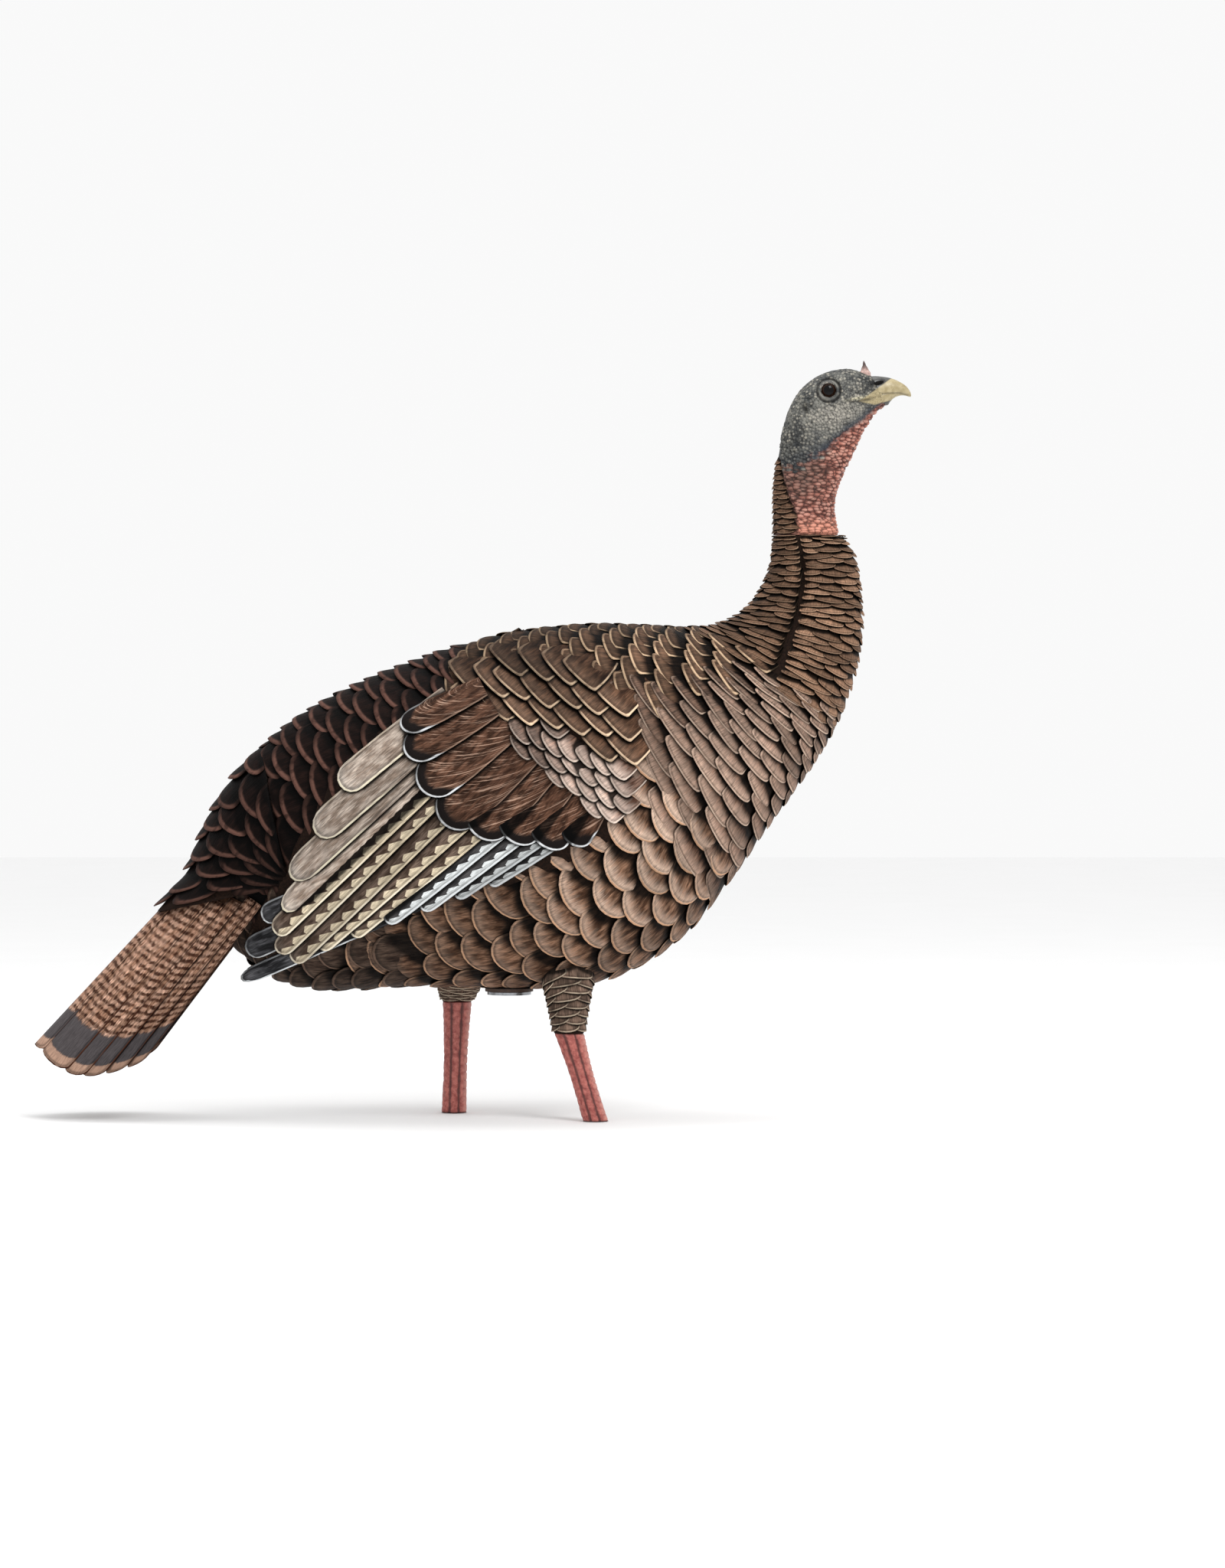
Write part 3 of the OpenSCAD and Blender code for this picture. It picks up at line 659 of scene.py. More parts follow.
neck_mat = feather_paint("neck_feathers", (54, 33, 20), (98, 70, 52), (176, 138, 112), (182, 150, 124), 0.7,
                         0.8, 1.0, ao=0.004, crev=2.2, shadow=0.92, vary=0.36)
breast_mat = feather_paint("breast_feathers", (56, 36, 26), (112, 82, 66), (206, 175, 155), (228, 200, 178),
                           1.0, 0.9, 0.95, crev=2.2, shadow=0.94, grain=1.25, vary=0.26)
mantle_mat = feather_paint("mantle_feathers", (44, 29, 20), (98, 71, 54), (178, 144, 119), (234, 200, 164),
                           1.5, 1.0, 0.6, crev=2.1, shadow=0.92)
belly_mat = feather_paint("belly_feathers", (68, 46, 33), (134, 101, 80), (255, 222, 198), (236, 186, 148),
                          1.5, 1.0, 1.0, ao=0.007, crev=2.2, shadow=0.94)
rump_mat = feather_paint("rump_feathers", (12, 6, 5), (28, 16, 13), (58, 38, 33), (108, 76, 66), 3.4, 0.9,
                         0.4, ao=0.006, groove_shade=0.2, shadow=0.8)
vent_mat = feather_paint("vent_feathers", (46, 34, 28), (84, 68, 58), (112, 94, 82), (132, 106, 90), 1.8, 0.8,
                         0.5, ao=0.006)
# Near-black paint for the skins under the feathers, the wings and the thighs: painted shade seen through
# their gaps.
under_shade_mat = plain_paint("under_plumage", (22, 14, 10), (44, 30, 23), 0.5, 0.85, 0.08)

us = np.linspace(0.0, BODY_END, 130)
underlay("body_under_skin", body_skin, us, np.arange(0, 360, 4),
         -3.6 + 1.7 * np.clip((1.1 - us) / 0.4, 0, 1)[:, None], under_shade_mat, True,
         replaces=("body_shell_left", "body_shell_right"), slot="painted_feathers")


def look_neck(u, t):
    front = off_mid(t) > slit_at(u)
    # Feathers within 10 degrees of the slit get less tint and more deep: painted shade in the slit.
    if abs(off_mid(t) - slit_at(u)) < 10:
        return (0.8 if front else 0.6) * 0.3, 0.6
    return (0.8, 0.06) if front else (0.6, 0.26)


def look_breast(u, t):
    a = off_mid(t)
    # glow is a painted highlight over the side of the breast, partly the decoy's dry-brushed paint.
    glow = math.exp(-((u - 7.4) / 1.8) ** 2 - ((a - 112) / 40) ** 2)
    high = share((92 - a) / 16)
    return min(1.0, 0.5 + 0.6 * glow) * (1 - 0.6 * high), 0.3 * high


def look_mantle(u, t):
    return 0.5, 0.48 * share((45 - off_mid(t)) / 25)


def look_belly(u, t):
    # glow is a painted highlight over the side of the belly, partly the decoy's dry-brushed paint.
    glow = math.exp(-((u - 8.6) / 2.0) ** 2 - ((off_mid(t) - 112) / 40) ** 2)
    return min(1.0, 0.15 + 0.9 * glow), 0.0 if u < 12 else 0.2


def rate(u):
    """Rows of feathers per rib on the neck and breast."""
    ribs = [0, 1, 2, 3, 4, 5, 6, 7, 8, 9, 12]
    return float(np.interp(u, ribs, [3.8, 4.6, 5.2, 5.8, 6.2, 6.2, 5.4, 4.6, 3.8, 3.0, 2.7]))


def on_mantle(u, t):
    return (off_mid(t) <= 80 - 4 * (u - 5) and bare_of_wing(u, t, 8.3, 45)
            and not (u > 9.5 and off_mid(t) < 30 * (u - 9.5)))


def on_rump(u, t):
    return off_mid(t) < min(74, 30 * (u - 9.5) + 2) and bare_of_wing(u, t) or (u > 14 and off_mid(t) < 112)


def tract(name, mat, slot, shape, *feathers):
    plumage(name, body_skin, sum(feathers, []), mat, dict(SCALE, **shape), slot)


NECK = dict(wide=1.1, long=2.5, low=lambda u: -2.6 + 2.4 * share((0.5 - u) / 0.4), tilt=0.4, rough=1.9)
tract("neck_feathers", neck_mat, "painted_feathers", dict(nx=9, y0=0.76, thick=0.7, curl=-0.9),
      lay(0.07, 5.2, rate, lambda u: 20 + 3.4 * u, lambda u, t: True, look_neck,
          lambda u: (slit_at(u) + 5, 360 - slit_at(u) - 5), high=2.0, **NECK),
      lay(0.07, 4.9, lambda u: 5.0 - 0.12 * u, lambda u: 20 + 3 * u, lambda u, t: True, look_neck,
          lambda u: (-slit_at(u) + 5, slit_at(u) - 5), high=1.7, **NECK))
tract("breast_feathers", breast_mat, "painted_feathers", dict(y0=0.86, p=2.3, curl=-1.6),
      lay(5.1, 8.1, rate, lambda u: 36 + 5 * (u - 5),
          lambda u, t: off_mid(t) > 76 - 4 * (u - 5) and bare_of_wing(u, t, 8.0), look_breast, turn=-6,
          wide=1.14, low=-4.2, high=2.8))
tract("mantle_feathers", mantle_mat, "painted_feathers", dict(y0=0.9, p=2.5, curl=-1.4),
      lay(4.9, 10.6, lambda u: 3.7 - 0.06 * u, 38, on_mantle, look_mantle, turn=-16, wide=1.12, low=-4.2,
          high=2.8))
tract("belly_feathers", belly_mat, "painted_feathers", dict(y0=0.72, p=1.9, curl=-2.2),
      lay(8.15, 13.4, lambda u: 3.0 - 0.03 * (u - 8), 44, lambda u, t: off_mid(t) > 78 and bare_of_wing(u, t),
          look_belly, low=-5.0, high=3.4, turn=6, wide=1.15))
tract("rump_feathers", rump_mat, "rump_feathers", dict(y0=0.7, thick=1.5, curl=-0.6),
      lay(10.1, 17.2, 3.4, 44, on_rump, lambda u, t: (0.5, 0.6 * share((off_mid(t) - 62) / 30)), low=-4.0,
          high=3.4, wide=1.15, turn=4))
tract("vent_feathers", vent_mat, "rump_feathers", dict(y0=0.66, curl=-2.5),
      lay(13.2, 16.9, 2.5, 40, lambda u, t: off_mid(t) > 110, lambda u, t: (0.5, 0.1), low=-4.5, high=5.5,
          wide=1.2))

# ---------------------------------------------------------------- tail coverts

underlay("covert_under_skin", covert_skin, np.linspace(0, 1, 20), np.linspace(-1, 1, 41), -3.4, under_shade_mat,
         False, replaces=("tail_coverts",), slot="rump_feathers")
ROW_STEP, ACROSS = 0.096, 4
rows = []
for k in range(10):
    t = 0.13 + ROW_STEP * k
    for j in range(ACROSS + k % 2):
        s = (j + 0.5 - 0.5 * (k % 2)) / ACROSS * 2 - 1
        s = float(np.clip(s, -0.93, 0.93)) + rng.uniform(-0.03, 0.03)
        su, sv = covert_skin.steps(t, s)
        rows.append([min(t + rng.uniform(-0.02, 0.02), 1.0), s, -su, 0, 0, sv, 44,
                     46 * rng.uniform(0.95, 1.1), -3.6, 2.8, 0.5 * np.sign(s), 0, rng.random(), 0.5,
                     0.6 * share((abs(s) - 0.6) / 0.3), ROW_STEP / su, np.sign(s)])
plumage("tail_covert_feathers", covert_skin, rows, rump_mat, dict(SCALE, y0=0.68, thick=1.3, curl=-0.6),
        "rump_feathers")

# ---------------------------------------------------------------- tail

tail_mat = feather_paint("tail_feathers", (150, 112, 90), (192, 154, 132), (226, 192, 172), (78, 46, 32), 1.2,
                         1.0, 0.5, bars=((60, 32, 21), 7.6, 0.46), crev=1.6, groove_shade=0.5,
                         tip=[((80, 75, 76), 13, 44), ((176, 142, 122), -2, 11)])
underlay("tail_under_skin", tail_skin, np.linspace(-0.06, 0.96, 24), np.linspace(-0.97, 0.97, 33), -3.6,
         plain_paint("tail_under", (62, 40, 30), (104, 74, 56), 0.4, 0.75, 0.1), False,
         replaces=("tail_fan",), slot="tail_feathers")
# Place of the tip and of the root across the tail, width in mm and reach of each feather, from the outermost.
TAIL_SPREAD = ((0.955, 0.94, 17, 0.985), (0.875, 0.86, 19, 0.985), (0.76, 0.745, 20, 0.99),
               (0.63, 0.61, 22, 0.995), (0.37, 0.36, 42, 1.0))
QUILL_LEN = 206
rows = []
for side in (1, -1):
    for k, (s_tip, s_root, wide, far) in enumerate(TAIL_SPREAD):
        su, sv = tail_skin.steps(0.9, side * s_tip)
        slope = side * (s_root - s_tip) / TAIL_LEN
        rows.append([far, side * s_tip, -su, slope, 0, sv * 0.98, QUILL_LEN, wide * 1.1, -2.8 + 0.6 * k,
                     -2.4 + 0.65 * k, 0.5 * side, 0, 0.15 + 0.15 * k + 0.05 * side, 0.6, 0.0, 0, side])
su, sv = tail_skin.steps(0.9, 0.05)
rows.append([1.005, 0.0, -su, 0, 0, sv, QUILL_LEN, 40, 0.3, 0.9, 0, 0, 0.9, 0.6, 0.0, 0, 1])
plumage("tail_feathers", tail_skin, rows, tail_mat,
        dict(VANE, crown=1.4, y0=0.965, p=2.8, base=0.9, thick=0.9), "tail_feathers")

# ---------------------------------------------------------------- wings

PALE = (226, 230, 232)
WING_PAINT = dict(rim_on=1.0, shadow=0.93)
tertial_mat = feather_paint("tertials", (146, 128, 114), (196, 180, 166), (240, 230, 218), (255, 244, 216),
                            1.5, glow=0.9, ao=0.003, rim_end=60, crev=1.8, grain=0.75, **WING_PAINT)
second_mat = feather_paint("secondaries", (66, 52, 43), (108, 91, 80), (172, 156, 141), (250, 238, 214), 1.4,
                           notch=((216, 200, 172), 15.0, 0.11), ao=0.003, crev=1.8, grain=0.6, **WING_PAINT)
primary_mat = feather_paint("primaries", (42, 41, 42), (78, 76, 76), (136, 136, 136), PALE, 1.4, 1.0, 0.5,
                            notch=((222, 226, 226), 13.0, 0.19), ao=0.003, crev=1.6, grain=0.5, shadow=0.9)
primary_tip_mat = feather_paint("primary_tips", (34, 34, 36), (84, 84, 87), (140, 140, 144), PALE, 1.3, 1.0,
                                0.5, ao=0.004, crev=1.4)
covert_mat = feather_paint("greater_coverts", (56, 36, 26), (104, 73, 57), (206, 172, 150), (238, 240, 242),
                           1.5, glow=0.3, band=((26, 21, 20), 8.0), rim_end=13, crev=2.0, groove_shade=0.1,
                           barb=0.55, **WING_PAINT)
scapular_mat = feather_paint("scapulars", (54, 36, 26), (104, 75, 57), (188, 153, 129), (244, 212, 178), 1.5,
                             1.0, 0.7, ao=0.006, crev=2.1, shadow=0.94, vary=0.24)
lesser_mat = feather_paint("lesser_coverts", (84, 58, 46), (150, 118, 102), (240, 214, 198), (242, 222, 206),
                           1.1, 0.9, 1.0, crev=2.1, shadow=0.94)


def quill(tip, root, width, low, high, tilt=0.0, tint=0.5, deep=0.0):
    """One wing feather from its tip to its root, in x and z of the side view."""
    a = np.array(root, float) - np.array(tip, float)
    ln = np.linalg.norm(a)
    a /= ln
    return [*tip, a[0], a[1], -a[1], a[0], ln, width, low, high, tilt, 0, rng.random(), tint, deep, 0, -1]


# Tips and roots of the wing's feathers in x and z of the side view, and their widths, from the lowest up.
PRIMARY_TIPS = [((-241, 18), (56, 150), 15), ((-236, 44), (-70, 124), 22), ((-220, 76), (-70, 142), 20)]
PRIMARIES = [((-16, 108), (62, 156), 14), ((-46, 97), (52, 162), 15), ((-76, 86), (34, 166), 16),
             ((-108, 74), (14, 168), 16)]
SECONDARIES = [((-140, 62), (-6, 168), 17), ((-170, 50), (-24, 172), 18), ((-194, 38), (-40, 180), 18),
               ((-206, 46), (-50, 192), 18), ((-207, 64), (-54, 204), 19)]
TERTIALS = [((-199, 84), (-50, 216), 22), ((-191, 112), (-52, 234), 26), ((-168, 150), (-50, 250), 29),
            ((-146, 190), (-50, 268), 28)]
COVERTS = [((56, 143), (84, 186), 30), ((30, 142), (70, 196), 40), ((1, 147), (52, 206), 42),
           ((-28, 151), (38, 220), 44), ((-56, 160), (24, 234), 44), ((-75, 188), (4, 250), 40),
           ((-88, 217), (-12, 264), 32), ((-92, 239), (-20, 278), 24)]
# Edges of the shoulder's fields, in the same view.
SCAPULAR_FIELD = np.array([(-62, 280), (-44, 294), (0, 302), (50, 296), (90, 276), (116, 248), (118, 222),
                           (100, 206), (84, 208), (58, 230), (26, 244), (2, 234), (-12, 238), (-36, 248),
                           (-58, 266)])
LESSER_FIELD = np.array([(-10, 238), (22, 206), (52, 182), (76, 166), (98, 166), (106, 184), (94, 208),
                         (60, 230), (26, 246), (2, 248)])


def inside(field, x, z):
    """True where a point is in a polygon."""
    hit = False
    for (ax, az), (bx, bz) in zip(field, np.roll(field, -1, 0)):
        if (az > z) != (bz > z) and x < (bx - ax) * (z - az) / (bz - az) + ax:
            hit = not hit
    return hit


def field_rows(field, along, across, row_gap, gap, length, width, low, high, tint, skin):
    """Feathers in brick order over a field. along points to their tips, and across follows their rows. high
    goes from the upper rows to the lower, and tint from the rear to the front."""
    along, across = np.array(along) / np.hypot(*along), np.array(across) / np.hypot(*across)
    mid = field.mean(0)
    out = []
    for i in range(14, -15, -1):
        for j in range(9, -10, -1):
            tip = mid + along * row_gap * i + across * gap * (j + 0.5 * (i % 2)) + rng.uniform(-1.5, 1.5, 2)
            if not inside(field, *tip):
                continue
            root = tip - (along + across * rng.uniform(-0.06, 0.06)) * length * rng.uniform(0.95, 1.1)
            top = float(np.interp((tip - mid) @ along, (-18, 16), high))
            rise = 0.6 * skin.pad(*np.stack([root, tip], 1))
            pale = float(np.interp(tip[0], (25, 60), tint))
            out.append(quill(tip, root, width, low + rise[0], top + rise[1] + rng.uniform(-0.25, 0.25), -1.0,
                             pale, 0.45 * (tint[1] - pale) + 0.48 * share((tip[1] - 262) / 28)))
    return out


def wing(side, tag):
    skin = WingSkin(side)
    w, h = grid(np.linspace(8.1, 15.9, 40), np.linspace(0, 1, 15))
    rib = spline(WING_RIBS, w - 7)
    th = rib[..., 1] + (rib[..., 2] - rib[..., 1]) * h
    lens = 0.2 + 5.0 * np.sqrt(np.sin(np.pi * np.clip((w - 8.1) / 7.8, 0, 1)) * np.sin(np.pi * h))
    outer, inner = (body_skin.lift(w, th, off) * (1, side, 1) for off in (lens, np.full(w.shape, -1.0)))
    slab(f"wing_under_skin_{tag}", outer, inner, under_shade_mat, replaces=(f"wing_{tag}",), slot="wing_feathers")

    def quills(feathers, low, low_step, high, high_step, tilt=-1.0, power=1):
        return [quill(tip, root, wide, low + low_step * k ** power, high + high_step * k, tilt)
                for k, (tip, root, wide) in enumerate(feathers)]

    long = dict(VANE, base=0.85, ny=30)
    layers = [
        ("primary_tips", primary_tip_mat, dict(long, ny=26, y0=0.93),
         quills(PRIMARY_TIPS, 1.8, 0.5, 3.2, 0.5, 0.0)),
        ("primaries", primary_mat, dict(long, y0=0.93), quills(PRIMARIES, 2.2, 0.5, 3.8, 0.6, -0.9)),
        ("secondaries", second_mat, dict(long, y0=0.95), quills(SECONDARIES, 3.2, 0.5, 5.0, 0.6)),
        ("tertials", tertial_mat, dict(long, ny=26, y0=0.88, p=2.2), quills(TERTIALS, 4.4, 0.6, 6.6, 0.9)),
        ("greater_coverts", covert_mat, dict(SCALE, nx=17, ny=16, y0=0.78, crown=1.4),
         quills(COVERTS, -0.6, 0.13, 6.4, 0.8, power=2)),
        ("lesser_coverts", lesser_mat, dict(SCALE, nx=9, ny=7, y0=0.8, p=2.1),
         field_rows(LESSER_FIELD, (-0.8, -0.6), (0.62, -0.78), 8.0, 25, 27, 28, -1.5, (2.6, 8.4), (0.35, 1.0),
                    skin)),
        ("scapulars", scapular_mat, dict(SCALE, y0=0.9, p=2.4),
         field_rows(SCAPULAR_FIELD, (-0.69, -0.72), (0.74, -0.67), 12.5, 36, 38, 41, -3.0, (4.2, 5.4),
                    (0.55, 0.55), skin))]
    fields = 5
    for i, (name, mat, shape, rows) in enumerate(layers):
        skin.padded = i < fields
        above = layers[i + 1:fields] if i == fields - 1 else layers[i + 1:]
        over = [(row, later[2]) for later in above for row in later[3]]
        plumage(f"{name}_{tag}", skin, rows, mat, shape, "wing_feathers", over=over)


wing(-1, "right")
wing(1, "left")

# ---------------------------------------------------------------- head

# Edge between the blue-grey skin and the pink throat, in x and z of the side view.
JAW_LINE = np.array([[349, 541], [338, 537.5], [324.5, 525.5], [309, 514.5], [296, 504], [286, 493],
                     [275, 485], [262, 479], [238, 477]])
EYE = np.array([291.0, 551.0])


def line_gap(x, z, line):
    """Signed distance from a line in the side view, above is positive."""
    best = np.full(np.shape(x), 1e9)
    sign = np.ones(np.shape(x))
    for a, b in zip(line[:-1], line[1:]):
        d = b - a
        t = np.clip(((x - a[0]) * d[0] + (z - a[1]) * d[1]) / (d @ d), 0, 1)
        gx, gz = x - a[0] - t * d[0], z - a[1] - t * d[1]
        dist = np.hypot(gx, gz)
        sign = np.where(dist < best, np.where(d[0] * gz - d[1] * gx < 0, 1, -1), sign)
        best = np.minimum(best, dist)
    return best * sign


def cells(p, spacing, stretch, seed):
    """Bumps for points p in mm: their height, the distance from their joints, and one random number each."""
    shape = p.shape[:-1]
    q = p.reshape(-1, 3) * np.array(stretch) / spacing
    lo, hi = np.floor(q.min(0)) - 1, np.ceil(q.max(0)) + 1
    dims = (hi - lo).astype(int) + 1
    jit = np.random.default_rng(seed).random((*dims, 4))
    base = np.floor(q).astype(int)
    best, second, own = np.full(len(q), 9.0), np.full(len(q), 9.0), np.zeros(len(q))
    for shift in np.ndindex(3, 3, 3):
        c = base + np.array(shift) - 1
        j4 = jit[tuple(np.clip(c - lo.astype(int), 0, dims - 1).T)]
        d = np.linalg.norm(q - c - 0.05 - 0.9 * j4[:, :3], axis=1)
        second = np.minimum(second, np.maximum(best, d))
        own = np.where(d < best, j4[:, 3], own)
        best = np.minimum(best, d)
    found = np.clip(1 - (best / 0.75) ** 2, 0, 1), np.clip((second - best) * 2.2, 0, 1), own
    return [v.reshape(shape) for v in found]


def smooth(a, b, x):
    t = np.clip((x - a) / (b - a), 0, 1)
    return t * t * (3 - 2 * t)


def head_paint():
    p = Paint("head_skin", 0.5, 0.25)
    red, cell, ring = p.split("region")
    fleck, dark, low = p.split("detail")
    joint, own, horn = p.split("bumps")
    pale, rear, crown = p.split("areas")
    pos = p.place()
    n = p.noise(pos, 0.09, 3.0, 0.6)
    fine = p.noise(pos, 0.9, 3.0, 0.6)
    grey = p.mix(p.step(n, 0.35, 0.68), (58, 61, 62), (124, 123, 116))
    grey = p.mix(p.step(cell, 0.4, 0.95) * p.step(own, 0.3, 1.0, 0.05, 0.95), grey, (170, 164, 150))
    grey = p.mix(pale * p.step(fine, 0.3, 0.65, 0.25, 0.8), grey, (186, 180, 168))
    grey = p.shade(grey, 1.0 - crown * 0.22)
    grey = p.mix(dark * 0.8, grey, (44, 52, 64))
    pink = p.mix(p.step(own, 0.0, 0.8), (112, 60, 50), (180, 112, 96))
    pink = p.mix(p.step(cell, 0.4, 0.95) * p.step(fine, 0.3, 0.6, 0.2, 0.8), pink, (222, 168, 150))
    pink = p.mix(low * 0.7, pink, (240, 160, 134))
    pink = p.mix(rear * p.step(n, 0.3, 0.6, 0.55, 0.9), pink, (104, 80, 70))
    col = p.mix(fleck, p.mix(red, grey, pink), (206, 198, 168))
    col = p.shade(col, p.step(joint, 0.0, 0.5, 0.3, 1.06))
    col = p.mix(horn, col, p.mix(p.step(fine, 0.3, 0.7), (160, 144, 108), (194, 180, 142)))
    # Painted shade: ring darkens the creases and holes, and the crevice term darkens the gaps.
    col = p.shade(col, 1.0 - ring * 0.88)
    col = p.shade(col, p.crevice_shade(0.004, 1.6))
    p.bump(fine, 0.0004, 0.5)
    return p.finish(col)


def head():
    u, th = grid(np.linspace(0, 11, 380), np.arange(0, 360, 1.2))
    p = head_skin.lift(u, th, np.zeros(u.shape))
    x, z = p[..., 0], p[..., 2]
    peb, peb_joint, peb_own = cells(p, 2.9, (1, 1, 1.1), 3)
    wart, wart_joint, wart_own = cells(p, 4.2, (0.7, 0.7, 1.35), 4)
    jaw = line_gap(x, z, JAW_LINE)
    ragged = (6.0 + 8.0 * smooth(292, 268, x)) * (wart_own - 0.5) * smooth(310, 290, x) + 1.6 * (wart - 0.5)
    red = smooth(2.6, -2.6, jaw + ragged)
    angle = np.minimum(th, 360 - th)
    strip = smooth(4, -4, angle - np.where(z < 440, 74, 74 - 0.95 * (z - 440)))
    eye_gap = np.hypot(x - EYE[0], z - EYE[1])
    ear_gap = np.hypot(x - 269, (z - 534.5) * 0.8)
    throat = smooth(4, -4, jaw)
    cell, joint = peb * (1 - throat) + wart * throat, peb_joint * (1 - throat) + wart_joint * throat
    rough = 0.5 + 0.9 * smooth(530, 490, z) * smooth(290, 262, x)
    gape = line_gap(x, z, np.array([[350, 547.5], [338, 548], [326, 545], [305, 541]]))
    gape_on = hump((gape - 0.4) / 1.3) * smooth(302, 316, x) * (0.35 + 0.65 * (peb_own > 0.35))
    off = peb * rough * (1 - throat) * smooth(3, 14, eye_gap) + wart * 2.1 * throat
    off = off * (1 - strip) - 1.2 * strip
    off -= 1.3 * hump((eye_gap - 10.6) / 1.1) * (angle > 25)
    off += 0.8 * hump((eye_gap - 8.2) / 1.6) * (angle > 25)
    off -= 2.6 * hump(ear_gap / 2.6)
    off -= 1.1 * hump(jaw / 1.6) * (x > 283)
    off += 0.7 * gape_on - 0.8 * hump((gape + 2.4) / 1.1) * smooth(306, 318, x)
    off *= smooth(0, 0.25, u) * smooth(11, 10.7, u)
    off -= 5.5 * smooth(7.4, 6.4, eye_gap)
    dark = hump((jaw - 2.0) / 4.0) * smooth(262, 285, x) + 0.5 * hump((jaw - 9) / 8.0) * smooth(300, 270, x)
    # ring marks where painted shade goes: the crease round the eye, the ear hole, the skin under the nape
    # feathers, the mouth line and the nostril.
    ring = hump((eye_gap - 10.8) / 1.0) + hump(ear_gap / 3.2) + strip * 0.75
    ring += 0.6 * hump((gape + 2.6) / 1.2) * smooth(306, 318, x) * smooth(334, 328, x)
    nose = np.hypot((x - 334.5) / 5.5, (z - 558.5 - 0.25 * (x - 334.5)) / 2.7)
    ring += 1.1 * hump(nose ** 2) + 0.5 * hump((x - 329) / 9) * hump((z - 556) / 6)
    lips = np.array([[360, 570], [346.5, 561], [327, 546.7], [318, 541], [322, 536], [330, 530]])
    horn = smooth(0.6, -0.6, line_gap(x, z, lips)) * smooth(316.5, 318, x)
    horn *= smooth(-0.8, 0.8, z - np.interp(x, [316, 333, 352], [541.5, 538.4, 543.5]))
    cheek = hump((x - 300 - 0.6 * (z - 530)) / 22) * hump((z - 528) / 13) * smooth(11, 15, eye_gap)
    rear = smooth(302, 268, x + 6.0 * (wart_own - 0.5)) * smooth(436, 470, z)
    crown = smooth(562, 574, z) + smooth(288, 268, x) * smooth(528, 500, z)
    tube_between("head_skin", head_skin.lift(u, th, off), "head", head_paint(), {
        "region": xyz(red, np.where(eye_gap < 9.5, 0.5, cell), np.clip(ring, 0, 1)),
        "detail": xyz(gape_on * 0.9, np.clip(dark, 0, 1), smooth(440, 424, z) * (red > 0.5)),
        "areas": xyz(cheek, rear, np.clip(crown, 0, 1)),
        "bumps": xyz(np.where(eye_gap < 10, 0.8, joint), np.where(throat > 0.5, wart_own, peb_own), horn)},
        replaces=("head_shell",), slot="head_skin")


def nape():
    """Brown feathers that run up the back of the neck part of the head."""
    rows = []
    row_step = 4.4
    for k, z in enumerate(np.arange(424.0, 488, row_step)):
        reach = 70 if z < 438 else 70 - 0.98 * (z - 438)
        u = float(np.interp(z, HEAD_RIBS[:, 1], np.arange(12)))
        count = 3 if reach > 50 else 2 if reach > 30 else 1
        for j in range(count + k % 2):
            t = -reach + 2 * reach * (j + 0.5 - 0.5 * (k % 2)) / count
            t = float(np.clip(t, -reach + 9, reach - 9))
            su, sv = head_skin.steps(u, t)
            rows.append([u - 0.12, t, su, 0, 0, sv, 11, 0.882 * reach / count, -1.6, 1.2, 0.3, 0,
                         rng.random(), 0.5, 0.15, row_step, 1])
    plumage("nape_feathers", head_skin, rows, neck_mat, dict(SCALE, nx=7, ny=6, y0=0.7, thick=0.5),
            body="head")


head()
nape()

# ---------------------------------------------------------------- beak, eyes, snood

p = Paint("beak_horn", 0.34, 0.5)
pos = p.place()
ridge, dark, _ = p.split("region")
col = p.mix(p.step(p.noise(pos, 0.22, 3.0), 0.3, 0.7), (164, 148, 108), (192, 177, 138))
# dark paints the nostril and the mouth line near black as painted shade in these hollows. The crevice term
# below adds painted shade in the gaps.
col = p.mix(dark, p.mix(ridge, col, (74, 74, 70)), (12, 11, 11))
p.bump(p.noise(pos, 0.8, 2.0), 0.0003, 0.3)
beak_mat = p.finish(p.shade(col, p.crevice_shade(0.003, 1.2)))
# Each ring: x and z of its middle, half height, half width, and its lean in degrees.
BEAK = np.array([
    [336, 550.8, 15.0, 9.6, 30], [339, 551.6, 14.8, 9.2, 28], [344, 553.0, 12.0, 8.5, 20],
    [350, 554.0, 9.1, 7.1, 12], [356, 553.4, 6.6, 5.5, 4], [361.5, 551.4, 4.4, 3.9, -8],
    [365, 548.6, 2.4, 2.3, -22], [366.6, 546.4, 0.7, 0.7, -35]])
u, th = grid(np.linspace(0, 7, 110), np.radians(np.arange(0, 360, 3.0)))
r = spline(BEAK, u)
lean = np.radians(r[..., 4])
up, out = np.cos(th) * r[..., 2], np.sin(th) * r[..., 3]
x, z = r[..., 0] - np.sin(lean) * up, r[..., 1] + np.cos(lean) * up
mouth = z - np.interp(x, [334, 345, 356, 367], [547.2, 548.6, 549.0, 546.5])
nostril = np.hypot((x - 337.5) / 5.5, (z - 559 - 0.25 * (x - 337.5)) / 2.8)
out *= 1 - (0.7 * hump(mouth / 0.7) * smooth(366, 362, x) + 1.1 * hump(nostril)) / 9
z = z + 0.25 * np.where(mouth > 0, 1, -1) * hump(mouth / 0.8)
low_edge = np.interp(x, [316, 333, 352, 360], [541.5, 538.4, 543.5, 536])
ridge = np.maximum(smooth(-0.6, 0.6, z - 561 + (346.5 - x) * 0.72), smooth(0.6, -0.6, z - low_edge))
# Painted shade in the nostril and along the mouth line.
dark = hump(nostril ** 2) * 1.6 + 0.45 * hump(mouth / 0.6) * smooth(366, 360, x)
tube_between("beak", xyz(x, out, z), "head", beak_mat, {"region": xyz(ridge, np.clip(dark, 0, 1), 0 * x)},
             replaces=("beak",), slot="horn")

